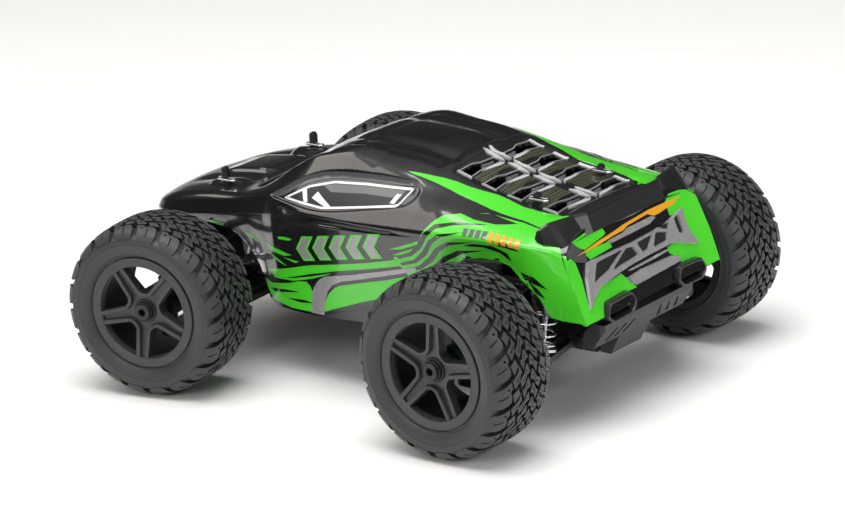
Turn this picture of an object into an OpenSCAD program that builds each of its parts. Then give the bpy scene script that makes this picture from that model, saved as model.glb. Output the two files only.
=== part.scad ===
// Four-wheel-drive model truck: wheels, suspension, steering, drive line, chassis and body shell.
// The nose points to +x, the left side to +y, and the tyres stand on z = 0.
// The middle of the truck's overall length is at x = 0.

/* [Wheels and stance] */
// Outer diameter of the tyres
tyre_d = 100; // [98:1:102]
// Width of each tyre
tyre_w = 47; // [44:1:48]
// Distance between the front and rear axles
wheelbase = 210; // [208:1:216]
// Distance between the left and right tyre centres
track = 220; // [218:1:226]
// Angle the front wheels are drawn turned to the left
steer_rest = 12; // [0:1:16]

/* [Body] */
// Wall thickness of the body shell
shell_t = 1.6; // [1.4:0.1:2.4]
// Radius of the body posts
post_r = 2.5; // [2.2:0.1:2.6]
// Radius of the body clip wire
clip_r = 0.6; // [0.5:0.05:0.65]

/* [Suspension] */
// Radius of the hinge pins
pin_r = 1.5; // [1.2:0.1:1.6]
// Coils in each suspension spring
coils = 6; // [4:1:7]
// Radius of the spring wire
wire_r = 0.7; // [0.5:0.1:0.8]

/* [Drive] */
// Teeth on the ring gear of each differential
ring_teeth = 33; // [33:11:33]
// Teeth on the spur gear
spur_teeth = 40; // [40:1:40]
// Diameter of the motor can
motor_d = 24; // [20:1:26]

/* [Hidden] */
$fn = 48;

// signs that pick an end and a side
front = 1;
rear = -1;
left = 1;
right = -1;
both = [-1, 1];

// clearances on radius: moving parts, and parts fixed together
run = 0.05;
fit = 0.02;
pin_run_r = pin_r + run;
pin_fit_r = pin_r + fit;

// overall places; nose and tail are measured from the middle of the wheelbase
nose_x = 176;
tail_x = -160;
centre_x = -(nose_x + tail_x) / 2;
axle_z = tyre_d / 2;
belly = 22; // chassis underside below the axles
base_z = axle_z - belly;
floor_t = 2.2;
floor_z = base_z + floor_t;
tray_step = 8; // side trays above the middle channel
tray_z = floor_z + tray_step;

// ---- frames and helpers ----
module flip_x(sign) mirror([sign < 0 ? 1 : 0, 0, 0]) children();
module flip_y(sign) mirror([0, sign < 0 ? 1 : 0, 0]) children();
module flip_z(sign) mirror([0, 0, sign < 0 ? 1 : 0]) children();

// frame of one corner: x away from the middle of the truck, y outboard, z from axle height
module corner(end, side)
  translate([centre_x + end * wheelbase / 2, 0, axle_z]) flip_x(end) flip_y(side) children();

module cyl_x(radius, from, to)
  translate([from, 0, 0]) rotate([0, 90, 0]) cylinder(r = radius, h = to - from);
module cyl_y(radius, from, to)
  translate([0, from, 0]) rotate([-90, 0, 0]) cylinder(r = radius, h = to - from);
// turns an outline of [radius, y] about the y axis
module turn_y() rotate([-90, 0, 0]) rotate_extrude() children();
// extrudes an outline drawn in y and z along x
module extrude_x(from, to)
  translate([from, 0, 0]) rotate([90, 0, 90]) linear_extrude(to - from) children();
// extrudes an outline drawn in x and z to both sides of y = 0
module extrude_y(half)
  rotate([90, 0, 0]) translate([0, 0, -half]) linear_extrude(2 * half) children();
// half an outline followed by its mirror image in reverse order
function with_mirror(half, signs) = concat(half,
  [for (k = [len(half) - 1:-1:0]) [half[k][0] * signs[0], half[k][1] * signs[1]]]);

// ---- wheels ----
wheel_offset = 8; // kingpin centre to tyre centre
kingpin_y = track / 2 - wheel_offset;
axle_r = 2;
journal_r = 2.5; // inside the bearings
bearing_r = 4.5;
hex_r = 6.9;
hex_y = 13;
cross_pin_r = 0.8;
cross_pin_y = 15.5;
screw_r = 1.2;

// frame of one wheel hub: origin at the kingpin centre, y along the wheel axis
module hub(end, side) corner(end, side) translate([0, kingpin_y, 0])
  rotate([0, 0, end == front ? steer_rest * side : 0]) children();
module wheel(end, side) hub(end, side) translate([0, wheel_offset, 0]) children();

module tyre() {
  w = tyre_w / 2;
  r = tyre_d / 2;
  // [radius, y] of the outboard half: up the inner surface's wall, then out over the tread
  half = [[r - 3.2, w - 13], [r - 3.8, w - 6], [r - 6, w - 3.6], [40, w - 3.2],
    [35.5, w - 5.5], [31, 15.2], [31, 18.2], [33.3, 18.2], [33.8, w - 3], [38, w - 0.5],
    [r - 8, w], [r - 4, w - 1], [r - 1.5, w - 3], [r - 0.4, w - 8], [r, w - 15]];
  color([0.10, 0.10, 0.11]) turn_y()
    polygon(concat([[r - 3, 0]], with_mirror(half, [1, -1])));
}

// [radius, y] of the rim barrel and its two flanges
rim_outline = [[28.6, -20.7], [33.1, -20.7], [33.1, -18.4], [30.9, -18.4], [30.9, 18.4],
  [33.1, 18.4], [33.1, 20.7], [29.4, 20.7], [29.4, 17.6], [28.6, 16.8]];

module rim() color([0.13, 0.13, 0.14]) difference() {
  union() {
    turn_y() polygon(rim_outline);
    cyl_y(9.2, 7, 13);
    // five pairs of splayed spokes
    for (i = [0:4], m = both) rotate([0, 72 * i + 10, 0]) translate([0, 14.5, 0])
      rotate([90, 0, 0]) linear_extrude(4.5)
        polygon([[m * 1.2, 8], [m * 5.2, 7.2], [m * 10.4, 27.1], [m * 5.6, 28.5]]);
  }
  cyl_y(axle_r + run, 0, 30);
  cyl_y(hex_r + 0.1, 6.9, 10.05, $fn = 6);
}

// slotted drive cup, open towards the middle of the truck
module cup(centre, inner_r, outer_r, mouth, depth, slot_w) {
  start = centre - mouth;
  difference() {
    cyl_y(outer_r, start, centre + depth + 1.6);
    cyl_y(inner_r, start - 1, centre + depth);
    translate([-slot_w / 2, start - 1, -10]) cube([slot_w, mouth + depth + 0.6, 20]);
  }
}

module stub_axle(end, side) color([0.45, 0.46, 0.48]) hub(end, side) {
  difference() {
    union() {
      if (end == front) {
        cup(0, 6.1, 7.7, 6.6, 6.6, 5.7);
        cyl_y(3, 8.1, 8.65);
      } else {
        cup(-10, 4.4, 6, 5.2, 6.6, 3.4);
        cyl_y(3, -2, 0);
      }
      cyl_y(journal_r, end == front ? 8.5 : -1, 14);
      cyl_y(axle_r, 14, 20.8);
    }
    cyl_y(screw_r + fit, 12, 22);
    cyl_x(cross_pin_r + fit, -4, 4.1);
    translate([0, cross_pin_y, 0]) cyl_x(cross_pin_r + fit, -6, 6);
  }
  // hex drive piece
  difference() {
    cyl_y(hex_r, hex_y, hex_y + 5, $fn = 6);
    cyl_y(journal_r + fit, 12, 14.02);
    cyl_y(axle_r + fit, 12, 20);
    translate([0, cross_pin_y, 0]) cyl_x(cross_pin_r + fit, -7, 7);
  }
  // its cross pin
  translate([0, cross_pin_y, 0]) difference() {
    cyl_x(cross_pin_r, -4.5, 4.5);
    cyl_y(screw_r + 2 * fit, -3, 3);
  }
  // wheel screw and washer, with a cross slot
  difference() {
    union() {
      cyl_y(4.3, 21.05, 21.85);
      cyl_y(3.3, 21.85, 24.4);
      cyl_y(screw_r, 12.4, 21.1);
    }
    for (a = [45, 135]) rotate([0, a, 0]) translate([-2.2, 23.2, -0.45]) cube([4.4, 2, 0.9]);
  }
}

// ---- suspension ----
drop = 3.5; // inboard pivots above the outboard ones
pivot_z = 18; // outboard pivots above and below the axle
hinge_y = 22; // inboard hinges from the centre line
low_hinge_z = drop - pivot_z;
high_hinge_z = drop + pivot_z;
ball_r = 3;
fork_x = 8.1; // middle of each fork cheek at the outer end of a rear arm
fork_half = 1.9;
lug_y = 44; // lower shock pin, along the arm
lug_z = 5.5; // and above it
shock_x = 23.5;
spring_base = 7.65; // above the lower shock pin
spring_top = 10.05; // below the upper shock pin

function outer_y(end) = end == front ? kingpin_y : kingpin_y - 10;
function reach(end) = outer_y(end) - hinge_y;
function arm_length(end) = norm([reach(end), drop]);
function arm_angle(end) = atan(drop / reach(end));
// [y, z] of the upper and lower shock pins
function shock_top(end) = end == front ? [47, 32] : [52, 43];
function shock_low(end) = let(a = arm_angle(end))
  [hinge_y + lug_y * cos(a) + lug_z * sin(a), low_hinge_z - lug_y * sin(a) + lug_z * cos(a)];
function shock_length(end) = norm(shock_top(end) - shock_low(end));
function shock_angle(end) = let(span = shock_low(end) - shock_top(end)) atan(-span[0] / span[1]);

// frame of a sloping arm: origin on its inboard hinge, y along it
module arm_frame(end, side, z) corner(end, side) translate([0, hinge_y, z + drop])
  rotate([-arm_angle(end), 0, 0]) children();
// socket at distance y, open towards +z or -z
module ball_socket(y, opening) difference() {
  translate([0, y, -3.6]) cylinder(r = 5.2, h = 7.2);
  translate([0, y, 0]) sphere(r = ball_r + run);
  translate([0, y, opening > 0 ? 0 : -5]) cylinder(r = 2.75, h = 5);
}
module shock_pin(from) {
  cyl_x(pin_r, from, 27.2);
  cyl_x(2.8, 27.2, 28.6);
}
// pin through the fork of a rear arm
module fork_pin(y) translate([0, y, 0]) cyl_x(pin_r, -10.6, 10.6);
module fork_hole(y) translate([0, y, 0]) cyl_x(pin_fit_r, -12, 12);

// [x, y] plans of the lower arms; the rear one ends in a fork
function lower_plan(end, tip) = end == front ?
  [[-14, 0], [14, 0], [19.2, 36], [19.2, 50], [13, 52], [6, tip - 18], [4.4, tip - 4.6],
    [-4.4, tip - 4.6], [-6, tip - 18], [-13, 48]] :
  [[-14, 0], [14, 0], [19.2, 36], [19.2, 50], [14, 52], [10, 60], [10, tip], [6.2, tip],
    [6.2, tip - 5], [-6.2, tip - 5], [-6.2, tip], [-10, tip], [-10, 60], [-14, 48]];

module lower_arm(end, side) {
  tip = arm_length(end);
  color([0.16, 0.16, 0.17]) arm_frame(end, side, -pivot_z) {
    difference() {
      union() {
        cyl_x(3.8, -16, 16);
        translate([0, 0, -1.9]) linear_extrude(3.2) polygon(lower_plan(end, tip));
        translate([13, 39.5, -1.9]) cube([6.2, 9, 9.6]);
        for (x = [-10, 8]) translate([x, 3, -1.9]) cube([2, 40, 5.6]);
        if (end == rear) for (m = both)
          translate([m * fork_x, tip, 0]) cyl_x(3.8, -fork_half, fork_half);
      }
      cyl_x(pin_run_r, -17, 17);
      for (x = [-8.5, 3.5]) translate([x, 8, -3]) cube([5, 22, 3.8]);
      translate([0, lug_y, lug_z]) cyl_x(pin_fit_r, 12, 20);
      if (end == front) translate([0, tip, -6]) cylinder(r = 5, h = 12);
      else fork_hole(tip);
    }
    if (end == front) ball_socket(tip, 1);
    else fork_pin(tip);
    translate([0, lug_y, lug_z]) shock_pin(13);
  }
}

module upper_link(end, side) {
  tip = arm_length(end);
  color([0.16, 0.16, 0.17]) arm_frame(end, side, pivot_z) {
    difference() {
      union() {
        cyl_x(3.3, -5, 5);
        cyl_y(1.9, 2, tip - (end == front ? 4.5 : 6));
        cyl_y(2.6, 3, 16);
        cyl_y(2.6, tip - 18, tip - (end == front ? 4.9 : 5.4));
        if (end == rear) {
          translate([-7, tip - 8.4, -2.2]) cube([14, 3.4, 4.4]);
          for (m = both) translate([m * fork_x, tip, 0]) {
            cyl_x(3.3, -fork_half, fork_half);
            translate([-fork_half, -8.4, -2.2]) cube([2 * fork_half, 8, 4.4]);
          }
        }
      }
      cyl_x(pin_run_r, -6, 6);
      if (end == rear) fork_hole(tip);
    }
    if (end == front) ball_socket(tip, -1);
    else fork_pin(tip);
  }
}

module kingpins(side) color([0.62, 0.63, 0.65]) corner(front, side)
  translate([0, kingpin_y, 0]) for (m = both) flip_z(m) {
    translate([0, 0, pivot_z]) sphere(r = ball_r);
    translate([0, 0, 9.6]) cylinder(r = pin_r, h = pivot_z - 9.6);
  }

module bearing(from, to) difference() {
  cyl_y(bearing_r, from, to);
  cyl_y(journal_r + run, from - 1, to + 1);
}

module knuckle(side) color([0.16, 0.16, 0.17]) hub(front, side) {
  difference() {
    union() {
      cyl_y(10.6, -5.2, 12.4);
      translate([0, 0, -12]) cylinder(r = 4.6, h = 24);
      // steering arm
      translate([0, 0, 2.5]) linear_extrude(3)
        polygon([[-8, -6], [-8, 6], [stud_x - 2, 3], [stud_x - 3.2, 0], [stud_x - 2, -3]]);
    }
    cyl_y(8.4, -13, 8.6);
    cyl_y(bearing_r + fit, 8, 14);
    translate([0, 0, -13]) cylinder(r = pin_run_r, h = 26);
  }
  // stud that carries the tie rod
  translate([stud_x, 0, 5.5]) {
    cylinder(r = 1.3, h = 7);
    translate([0, 0, 7]) cylinder(r = 2.9, h = 1.2);
  }
  bearing(8.7, 10.4);
  bearing(10.6, 12.3);
}

module hub_carrier(side) {
  pivot_y = outer_y(rear);
  // [y, z] of the web from the bearing housing to a pivot
  web = [[pivot_y - 2.6, pivot_z - 2.5], [pivot_y + 1, pivot_z - 9.6], [kingpin_y - 1.6, 6.4],
    [kingpin_y + 3, 6.4], [kingpin_y + 3, 8.2], [pivot_y + 3, pivot_z + 2.6]];
  color([0.16, 0.16, 0.17]) corner(rear, side) {
    difference() {
      union() {
        for (m = both) translate([0, pivot_y, m * pivot_z]) cyl_x(3.8, -6, 6);
        translate([0, kingpin_y, 0]) cyl_y(8.6, -1.6, 12.4);
        for (m = both) flip_z(m) extrude_x(-5, 5) polygon(web);
      }
      for (m = both) translate([0, pivot_y, m * pivot_z]) cyl_x(pin_run_r, -7, 7);
      translate([0, kingpin_y, 0]) cyl_y(bearing_r + fit, -3, 14);
    }
    translate([0, kingpin_y, 0]) {
      bearing(0.5, 3.5);
      bearing(9, 12.3);
    }
  }
}

module drive_ball(radius, pin_l) {
  sphere(r = radius);
  translate([0, 0, -pin_l / 2]) cylinder(r = 1.1, h = pin_l);
}
module dogbone(end, side) color([0.70, 0.71, 0.73]) arm_frame(end, side, 0) {
  drive_ball(3, 11.4);
  cyl_y(1.8, 0, arm_length(end));
  translate([0, arm_length(end), 0])
    drive_ball(end == front ? 3.6 : 3, end == front ? 14.8 : 11.4);
}

// frame of one shock: origin on its upper pin, the lower pin straight below
module shock_frame(end, side) corner(end, side)
  translate([shock_x, shock_top(end)[0], shock_top(end)[1]])
    rotate([shock_angle(end), 0, 0]) children();

module shock_body(end, side) {
  body_l = end == front ? 24 : 30;
  shock_frame(end, side) color([0.12, 0.12, 0.13]) difference() {
    union() {
      cyl_x(4.3, -3, 3);
      translate([0, 0, -8]) cylinder(r = 5.2, h = 4.6);
      translate([0, 0, -body_l]) cylinder(r = 4.9, h = body_l - 4);
      translate([0, 0, -10]) cylinder(r = 7, h = 1.8);
    }
    cyl_x(pin_run_r, -4, 4);
    translate([0, 0, 1.6 - body_l]) cylinder(r = 3.7, h = body_l - 8);
    translate([0, 0, -body_l - 1]) cylinder(r = 1.45, h = 10);
  }
}

module shock_rod(end, side) {
  length = shock_length(end);
  rod_top = end == front ? -16 : -18;
  shock_frame(end, side) color([0.72, 0.73, 0.75]) difference() {
    union() {
      translate([0, 0, -length]) {
        cyl_x(4.2, -3, 3);
        translate([0, 0, 2.6]) cylinder(r = 2.8, h = 4);
        // spring seat, then rod
        translate([0, 0, 6.2]) cylinder(r = 7.4, h = 1.4);
        translate([0, 0, 6]) cylinder(r = 1.4, h = length + rod_top - 6);
      }
      // piston
      translate([0, 0, rod_top - 1.5]) cylinder(r = 3.6, h = 2.4);
    }
    translate([0, 0, -length]) cyl_x(pin_r + 0.6, -4, 4);
  }
}

// point on the wire of a coil: a turns round the coil, b round the wire
function wire_point(a, coil_r, wire, z, b) = let(r = coil_r + wire * cos(b))
  [r * cos(a), r * sin(a), z + wire * sin(b)];
module coil(coil_r, wire, height, turns, steps, facets) {
  last = turns * steps;
  points = [for (i = [0:last], j = [0:facets - 1])
    wire_point(i * 360 / steps, coil_r, wire, wire + (height - 2 * wire) * i / last,
      j * 360 / facets)];
  function id(i, j) = i * facets + j % facets;
  polyhedron(points, concat(
    [[for (j = [0:facets - 1]) j], [for (j = [facets - 1:-1:0]) id(last, j)]],
    [for (i = [0:last - 1], j = [0:facets - 1]) each [
      [id(i + 1, j + 1), id(i, j + 1), id(i, j)],
      [id(i + 1, j), id(i + 1, j + 1), id(i, j)]]]));
}
module spring(end, side) shock_frame(end, side) color([0.78, 0.79, 0.80])
  translate([0, 0, spring_base - shock_length(end)])
    coil(6.2, wire_r, shock_length(end) - spring_base - spring_top, coils, 14, 6);

// ---- steering ----
// x is measured forwards from the front axle
rack_x = -25;
stud_x = -14; // tie rod stud behind the kingpin
rack_z = 9 + drop; // above the axles
rack_y = stud_x * sin(steer_rest); // sideways travel at the drawn angle
rack_r = 2.2;
rack_pin_r = 1.2;
servo_x = rack_x - 6.4;
horn_y = 16;
horn_l = 13.5;
horn_z = rack_z - horn_l;
horn_angle = asin(-rack_y / horn_l);
horn_shaft_r = 1.85;

module steering_rack() color([0.20, 0.20, 0.21]) corner(front, left)
  translate([rack_x, rack_y, rack_z]) {
    difference() {
      union() {
        cyl_y(rack_r, -18.5, 18.5);
        // forked ends and their root plates
        for (x = [-4.2, 2.4], y = [-25.5, 18]) translate([x, y, -2.9]) cube([1.8, 7.5, 5.8]);
        for (y = [-18.6, 17.4]) translate([-4.2, y, -2.2]) cube([8.4, 1.2, 4.4]);
        // slotted plate moved by the horn
        translate([-6.2, -2, -1.6]) cube([6, 4, 3.2]);
        translate([-6.2, -2, -4.4]) cube([1.6, horn_y + 5.4, 8.8]);
      }
      translate([-7, horn_y - 1.35, -3]) cube([3, 2.7, 5.6]);
    }
    for (m = both) translate([0, m * hinge_y, 0]) cyl_x(rack_pin_r, -2.5, 2.5);
  }

module tie_rod(side) {
  tip_x = stud_x * cos(steer_rest) - rack_x;
  tip_y = arm_length(front);
  color([0.60, 0.61, 0.63]) corner(front, side)
    translate([rack_x, hinge_y + side * rack_y, rack_z]) rotate([-arm_angle(front), 0, 0])
      difference() {
        union() {
          cyl_x(2.7, -2.1, 2.1);
          rotate([0, 0, -atan(tip_x / tip_y)]) cyl_y(1.6, 1, norm([tip_x, tip_y]) - 3.6);
          translate([tip_x, tip_y, -2]) cylinder(r = 4.4, h = 4);
        }
        cyl_x(rack_pin_r + run, -3, 3);
        translate([tip_x, tip_y, -3]) cylinder(r = 2.6, h = 6);
      }
}

module servo_horn() color([0.85, 0.85, 0.86]) corner(front, left)
  translate([servo_x, horn_y, horn_z]) rotate([horn_angle, 0, 0]) {
    difference() {
      union() {
        cyl_x(3.6, -2.6, -0.4);
        translate([-2.6, -2, 0]) cube([2.2, 4, horn_l]);
        translate([0, 0, horn_l]) cyl_x(2, -2.6, -0.4);
      }
      cyl_x(horn_shaft_r + run, -3, 0);
    }
    translate([0, 0, horn_l]) cyl_x(1.15, -0.4, 2.2);
    cyl_x(horn_shaft_r, -7, -0.5);
  }

// ---- drive line ----
shaft_z = axle_z + drop;
shaft_r = 3;
spur_r = spur_teeth * 0.4;
pinion_teeth = 16;
pinion_r = pinion_teeth * 0.4;
spur_x = [-42, -37];
bevel_teeth = 11;
bevel_r = bevel_teeth / 2;
bevel_x = wheelbase / 2 - ring_teeth / 2;
motor_y = spur_r + pinion_r;
motor_shaft_r = 1.15;

// one tooth: [share of the pitch, height from the pitch circle]
function tooth(tip, root) =
  [[-0.25, -root], [-0.17, 0], [-0.09, tip], [0.09, tip], [0.17, 0], [0.25, -root]];
function gear_points(teeth, pitch_r, phase, tip, root) =
  [for (i = [0:teeth - 1], q = tooth(tip, root))
    let(a = phase + (i + q[0]) * 360 / teeth, r = pitch_r + q[1]) [r * cos(a), r * sin(a)]];
module gear_x(teeth, pitch_r, from, to, phase, tip = 0.7, root = 0.9)
  extrude_x(from, to) polygon(gear_points(teeth, pitch_r, phase, tip, root));

// frame on the axis of the centre shaft
module shaft_frame() translate([centre_x, 0, shaft_z]) children();

module centre_shaft() color([0.60, 0.61, 0.63]) shaft_frame() {
  cyl_x(shaft_r, -bevel_x + 2.4, bevel_x - 2.4);
  for (end = both) gear_x(bevel_teeth, bevel_r, end * bevel_x - 2.5, end * bevel_x + 2.5,
    end == front ? 0 : 180, tip = 0.8, root = 1.2);
  gear_x(spur_teeth, spur_r, spur_x[0], spur_x[1], 0);
}

module motor_pinion() color([0.70, 0.60, 0.30]) shaft_frame() translate([0, motor_y, 0]) {
  difference() {
    gear_x(pinion_teeth, pinion_r, spur_x[0], spur_x[1], 180 / pinion_teeth);
    cyl_x(motor_shaft_r + fit, -43, -36);
  }
  color([0.7, 0.7, 0.72]) cyl_x(motor_shaft_r, -43.5, 3);
}

module diff(end) color([0.55, 0.56, 0.58]) corner(end, end) translate([0, 0, drop]) {
  cyl_y(9, -9.5, 9.5);
  cyl_y(18, -9.5, -6.8);
  for (i = [0:ring_teeth - 1]) rotate([0, i * 360 / ring_teeth, 0])
    translate([-17.8, -6.9, 0]) rotate([0, 90, 0]) linear_extrude(2.6)
      polygon([[-0.62, 0], [0.62, 0], [0.3, 2.1], [-0.3, 2.1]]);
  // output shafts and slotted cups
  for (m = both) flip_y(m) {
    cyl_y(4, 9, 14.6);
    difference() {
      cyl_y(6, 14.3, 27);
      cyl_y(4.4, 15.6, 28);
      translate([-1.7, 16.2, -10]) cube([3.4, 12, 20]);
    }
  }
}

// ---- chassis ----
// plan of the tub, drawn in by inset
function tub_plan(inset) = with_mirror([[inset - 72, -30], [-60, inset - 56],
  [60, inset - 56], [72 - inset, -30]], [1, -1]);
// [y, z] section: side trays above a middle channel
function tub_section(half_w, channel, low, top) = with_mirror([[-half_w, top],
  [-half_w, low + tray_step], [-channel, low + tray_step], [-channel, low]], [-1, 1]);

module chassis_tub() {
  post_mid = wheelbase / 2 + rack_x;
  color([0.09, 0.09, 0.10]) translate([centre_x, 0, base_z]) difference() {
    union() {
      difference() {
        intersection() {
          linear_extrude(15) polygon(tub_plan(0));
          extrude_x(-80, 80) polygon(tub_section(54, 26, 0, 16));
        }
        intersection() {
          translate([0, 0, 1]) linear_extrude(20) polygon(tub_plan(2));
          extrude_x(-75, 75) polygon(tub_section(52, 24, floor_t, 18));
        }
      }
      // spine under the gearboxes, with its ribs
      translate([-128, -15.5, 0]) cube([256, 31, floor_t]);
      for (x = [-83.6, 71], y = [-14, 12]) translate([x, y, 0]) cube([12.6, 2, 6]);
      // uprights that guide the rack
      for (y = [-11.9, 9.6]) translate([post_mid - 3.7, y, 1]) cube([7.4, 2.3, 38]);
      // battery end stops
      for (x = [-48, 48]) translate([x - 1, -52.5, tray_step + 1]) cube([2, 25, 8]);
    }
    translate([post_mid, 0, belly + rack_z]) cyl_y(rack_r + run, -20, 20);
    for (x = [-120, -90, 90, 120], y = [-12, 12]) translate([x, y, -1]) cylinder(r = 1.3, h = 5);
  }
}

// upper (1) or lower (-1) half, split at shaft height
module gearbox_half(half) difference() {
  union() {
    translate([0, 0, drop]) cyl_y(21, -14, 14);
    translate([-22, -9.5, drop - 8.5]) cube([14, 19, 17]);
    for (x = [-21.2, 17.2]) translate([x, -26, low_hinge_z - 3]) cube([4, 52, 7]);
    for (x = [-20.2, 16.2]) translate([x, -14, floor_t - belly]) cube([4, 28, 12]);
    for (x = [-9.2, 5.2]) translate([x, -26, high_hinge_z - 4]) cube([4, 52, 8]);
  }
  translate([0, 0, drop]) {
    cyl_y(19.4, -12.4, 12.4);
    translate([-19.6, -7.6, -7]) cube([14, 15.2, 14]);
    cyl_y(4 + run, -20, 20);
    cyl_x(shaft_r + run, -30, -10);
  }
  for (m = both, z = [low_hinge_z, high_hinge_z])
    translate([0, m * hinge_y, z]) cyl_x(pin_fit_r, -40, 40);
  translate([-40, -40, drop + (half > 0 ? -80 : -0.02)]) cube([80, 80, 80.02]);
}
module gearbox_housings() color([0.14, 0.14, 0.15]) for (end = both) corner(end, left) {
  gearbox_half(-1);
  gearbox_half(1);
  for (m = both) {
    translate([0, m * hinge_y, low_hinge_z]) cyl_x(pin_r, -21.6, 21.6);
    translate([0, m * hinge_y, high_hinge_z]) cyl_x(pin_r, -9.6, 9.6);
  }
}

// body posts, [front, rear]: x away from the axle, y, then heights above the axle
post_x = [6.5, -1];
post_y = [39, 29];
post_base = [33.05, 40.05];
post_top = [58, 69];
post_collar = [40.6, 57];
clip_z = [51.4, 66];
clip_slot_r = clip_r + 0.2;
function row(end) = end == front ? 0 : 1;
// [x, y] of a post in the frame of the whole truck
function post_place(end, side) =
  [centre_x + end * (wheelbase / 2 + post_x[row(end)]), side * post_y[row(end)]];

module body_post(i) difference() {
  union() {
    translate([0, 0, post_base[i]]) {
      cylinder(r = post_r, h = post_top[i] - post_base[i] - 1);
      cylinder(r = 4, h = 2);
    }
    translate([0, 0, post_top[i] - 1.2]) cylinder(r = post_r - 0.6, h = 1.2);
    translate([0, 0, post_collar[i]]) cylinder(r = 4.6, h = 1.4);
  }
  translate([0, 0, clip_z[i]]) {
    cyl_x(clip_slot_r, -6, 6);
    translate([-6, -clip_slot_r, 0]) cube([12, 2 * clip_slot_r, 20]);
  }
}
module tower(end) {
  i = row(end);
  y = shock_top(end)[0];
  z = shock_top(end)[1];
  // [y, z] of one half of the plate
  plate = [[12, 21.2], [17, 25], [y - 8, z - 8], [y + 4.5, z - 5], [y + 4.5, z + 4.4],
    [y - 4, z + 4.4], [22, z - 1], [8, z - 3]];
  difference() {
    union() {
      extrude_x(12, 15) polygon(with_mirror(plate, [-1, 1]));
      for (m = both) {
        translate([post_x[i] - 4, m * post_y[i] - 4, post_base[i] - 4.05])
          cube([19 - post_x[i], 8, 4]);
        translate([0, m * y, z]) cyl_x(3, 14.9, 20.3);
      }
    }
    for (m = both) {
      translate([0, m * y, z]) cyl_x(pin_fit_r, 10, 30);
      translate([0, m * 9, 25]) cyl_x(2.2, 10, 19);
    }
  }
  for (m = both) {
    translate([0, m * y, z]) shock_pin(12);
    translate([post_x[i], m * post_y[i], 0]) body_post(i);
  }
}
module towers_and_posts() color([0.10, 0.10, 0.11]) for (end = both) corner(end, left) tower(end);

module bumpers() color([0.20, 0.20, 0.21]) translate([centre_x, 0, 0]) {
  // front: skid, nose bar and the lip on top of it
  extrude_y(14) polygon([[129, base_z], [140, base_z], [168, 54], [168, 58], [160, 58],
    [138, base_z + 8], [129, base_z + 8]]);
  translate([0, 0, 54]) linear_extrude(9) polygon(with_mirror(
    [[160, -14], [164, -30], [170, -32], [175, -24], [nose_x, -10]], [1, -1]));
  translate([0, 0, 62]) linear_extrude(12) polygon(with_mirror(
    [[173, -10], [172.6, -26], [175, -24], [nose_x, -10]], [1, -1]));
  // rear: bracket, then a bar with slanted grooves and angled ends
  extrude_y(14) polygon([[-129, base_z], [-136, base_z], [-143, 41], [-141, 48], [-138, 48],
    [-134, base_z + 8], [-129, base_z + 8]]);
  difference() {
    extrude_y(42) polygon([[-139, 43], [-142, 40.5], [-145, 41], [-153, 52], [-153, 55],
      [-146, 55.5], [-139, 49]]);
    for (m = both, i = [0:2]) translate([-149.4, m * (14 + 8 * i), 46.4])
      rotate([0, -36, 0]) rotate([m * 28, 0, 0]) cube([2.4, 2.6, 10], center = true);
    for (m = both) flip_y(m) translate([-150, 42, 40]) rotate([0, 0, 20])
      translate([-20, 0, -2]) cube([40, 20, 22]);
  }
}

module motor() {
  plate_top = 12; // above the shaft
  color([0.35, 0.36, 0.38]) shaft_frame() {
    translate([0, motor_y, 0]) difference() {
      union() {
        cyl_x(motor_d / 2, -33, 2);
        cyl_x(motor_d / 2 - 2, 2, 5);
        cyl_x(4, 5, 7);
      }
      cyl_x(motor_shaft_r + run, -40, 4);
      cyl_x(9, -31.5, 1);
    }
    // mounting plate, standing on the channel floor and the left tray
    difference() {
      union() {
        translate([-35.4, -6, floor_z - shaft_z])
          cube([2.3, 29.8, shaft_z - floor_z + plate_top]);
        translate([-35.4, 20, tray_z - shaft_z])
          cube([2.3, motor_y - 8, shaft_z - tray_z + plate_top]);
      }
      translate([0, motor_y, 0]) cyl_x(4, -40, -30);
      cyl_x(shaft_r + run, -40, -30);
      for (a = [0:90:270]) translate([0, motor_y, 0]) rotate([a, 0, 0])
        translate([0, 0, 8]) cyl_x(1.2, -40, -30);
    }
  }
}

controller_h = 14;
switch_x = 29;
switch_y = 34;

module electronics() color([0.16, 0.16, 0.18]) {
  // steering servo with mounting ears
  corner(front, left) translate([servo_x - 4, horn_y, horn_z]) difference() {
    union() {
      translate([-24, -6.5, -17.6]) cube([22, 13, 26]);
      translate([-9, -6.5, -17.6]) cube([2, 13, 30]);
      cyl_x(4.4, -2.1, 0.8);
    }
    cyl_x(horn_shaft_r + run, -4, 2);
  }
  translate([centre_x, 0, tray_z]) {
    // speed controller with cooling fins
    translate([8, 21, 0]) {
      cube([32, 30, controller_h]);
      for (i = [0:5]) translate([2 + i * 3.4, 2, controller_h]) cube([1.4, 26, 5]);
    }
    // radio receiver
    translate([-2, 39.5, 0]) cube([9, 12, 20]);
    // switch housing
    translate([switch_x, switch_y, controller_h]) difference() {
      cube([10, 10, 2.5]);
      translate([1.5, 3, -1]) cube([7, 4, 5]);
    }
  }
}

module power_switch() color([0.75, 0.10, 0.08])
  translate([centre_x + switch_x + 2, switch_y + 3.1, tray_z + controller_h + run])
    cube([2.8, 3.8, 4.4]);

module battery_pack() color([0.10, 0.22, 0.55]) translate([centre_x, 0, tray_z]) {
  translate([-46, -50, 0]) cube([92, 30, 17]);
  // straps
  color([0.1, 0.1, 0.1]) for (x = [-26, 18]) translate([x, -51.4, 0]) difference() {
    cube([9, 32.8, 19]);
    translate([-1, 1.35, -1]) cube([11, 30.1, 18.05]);
  }
}

// ---- body ----
body_z = axle_z - 50; // height of the body's own zero
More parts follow.
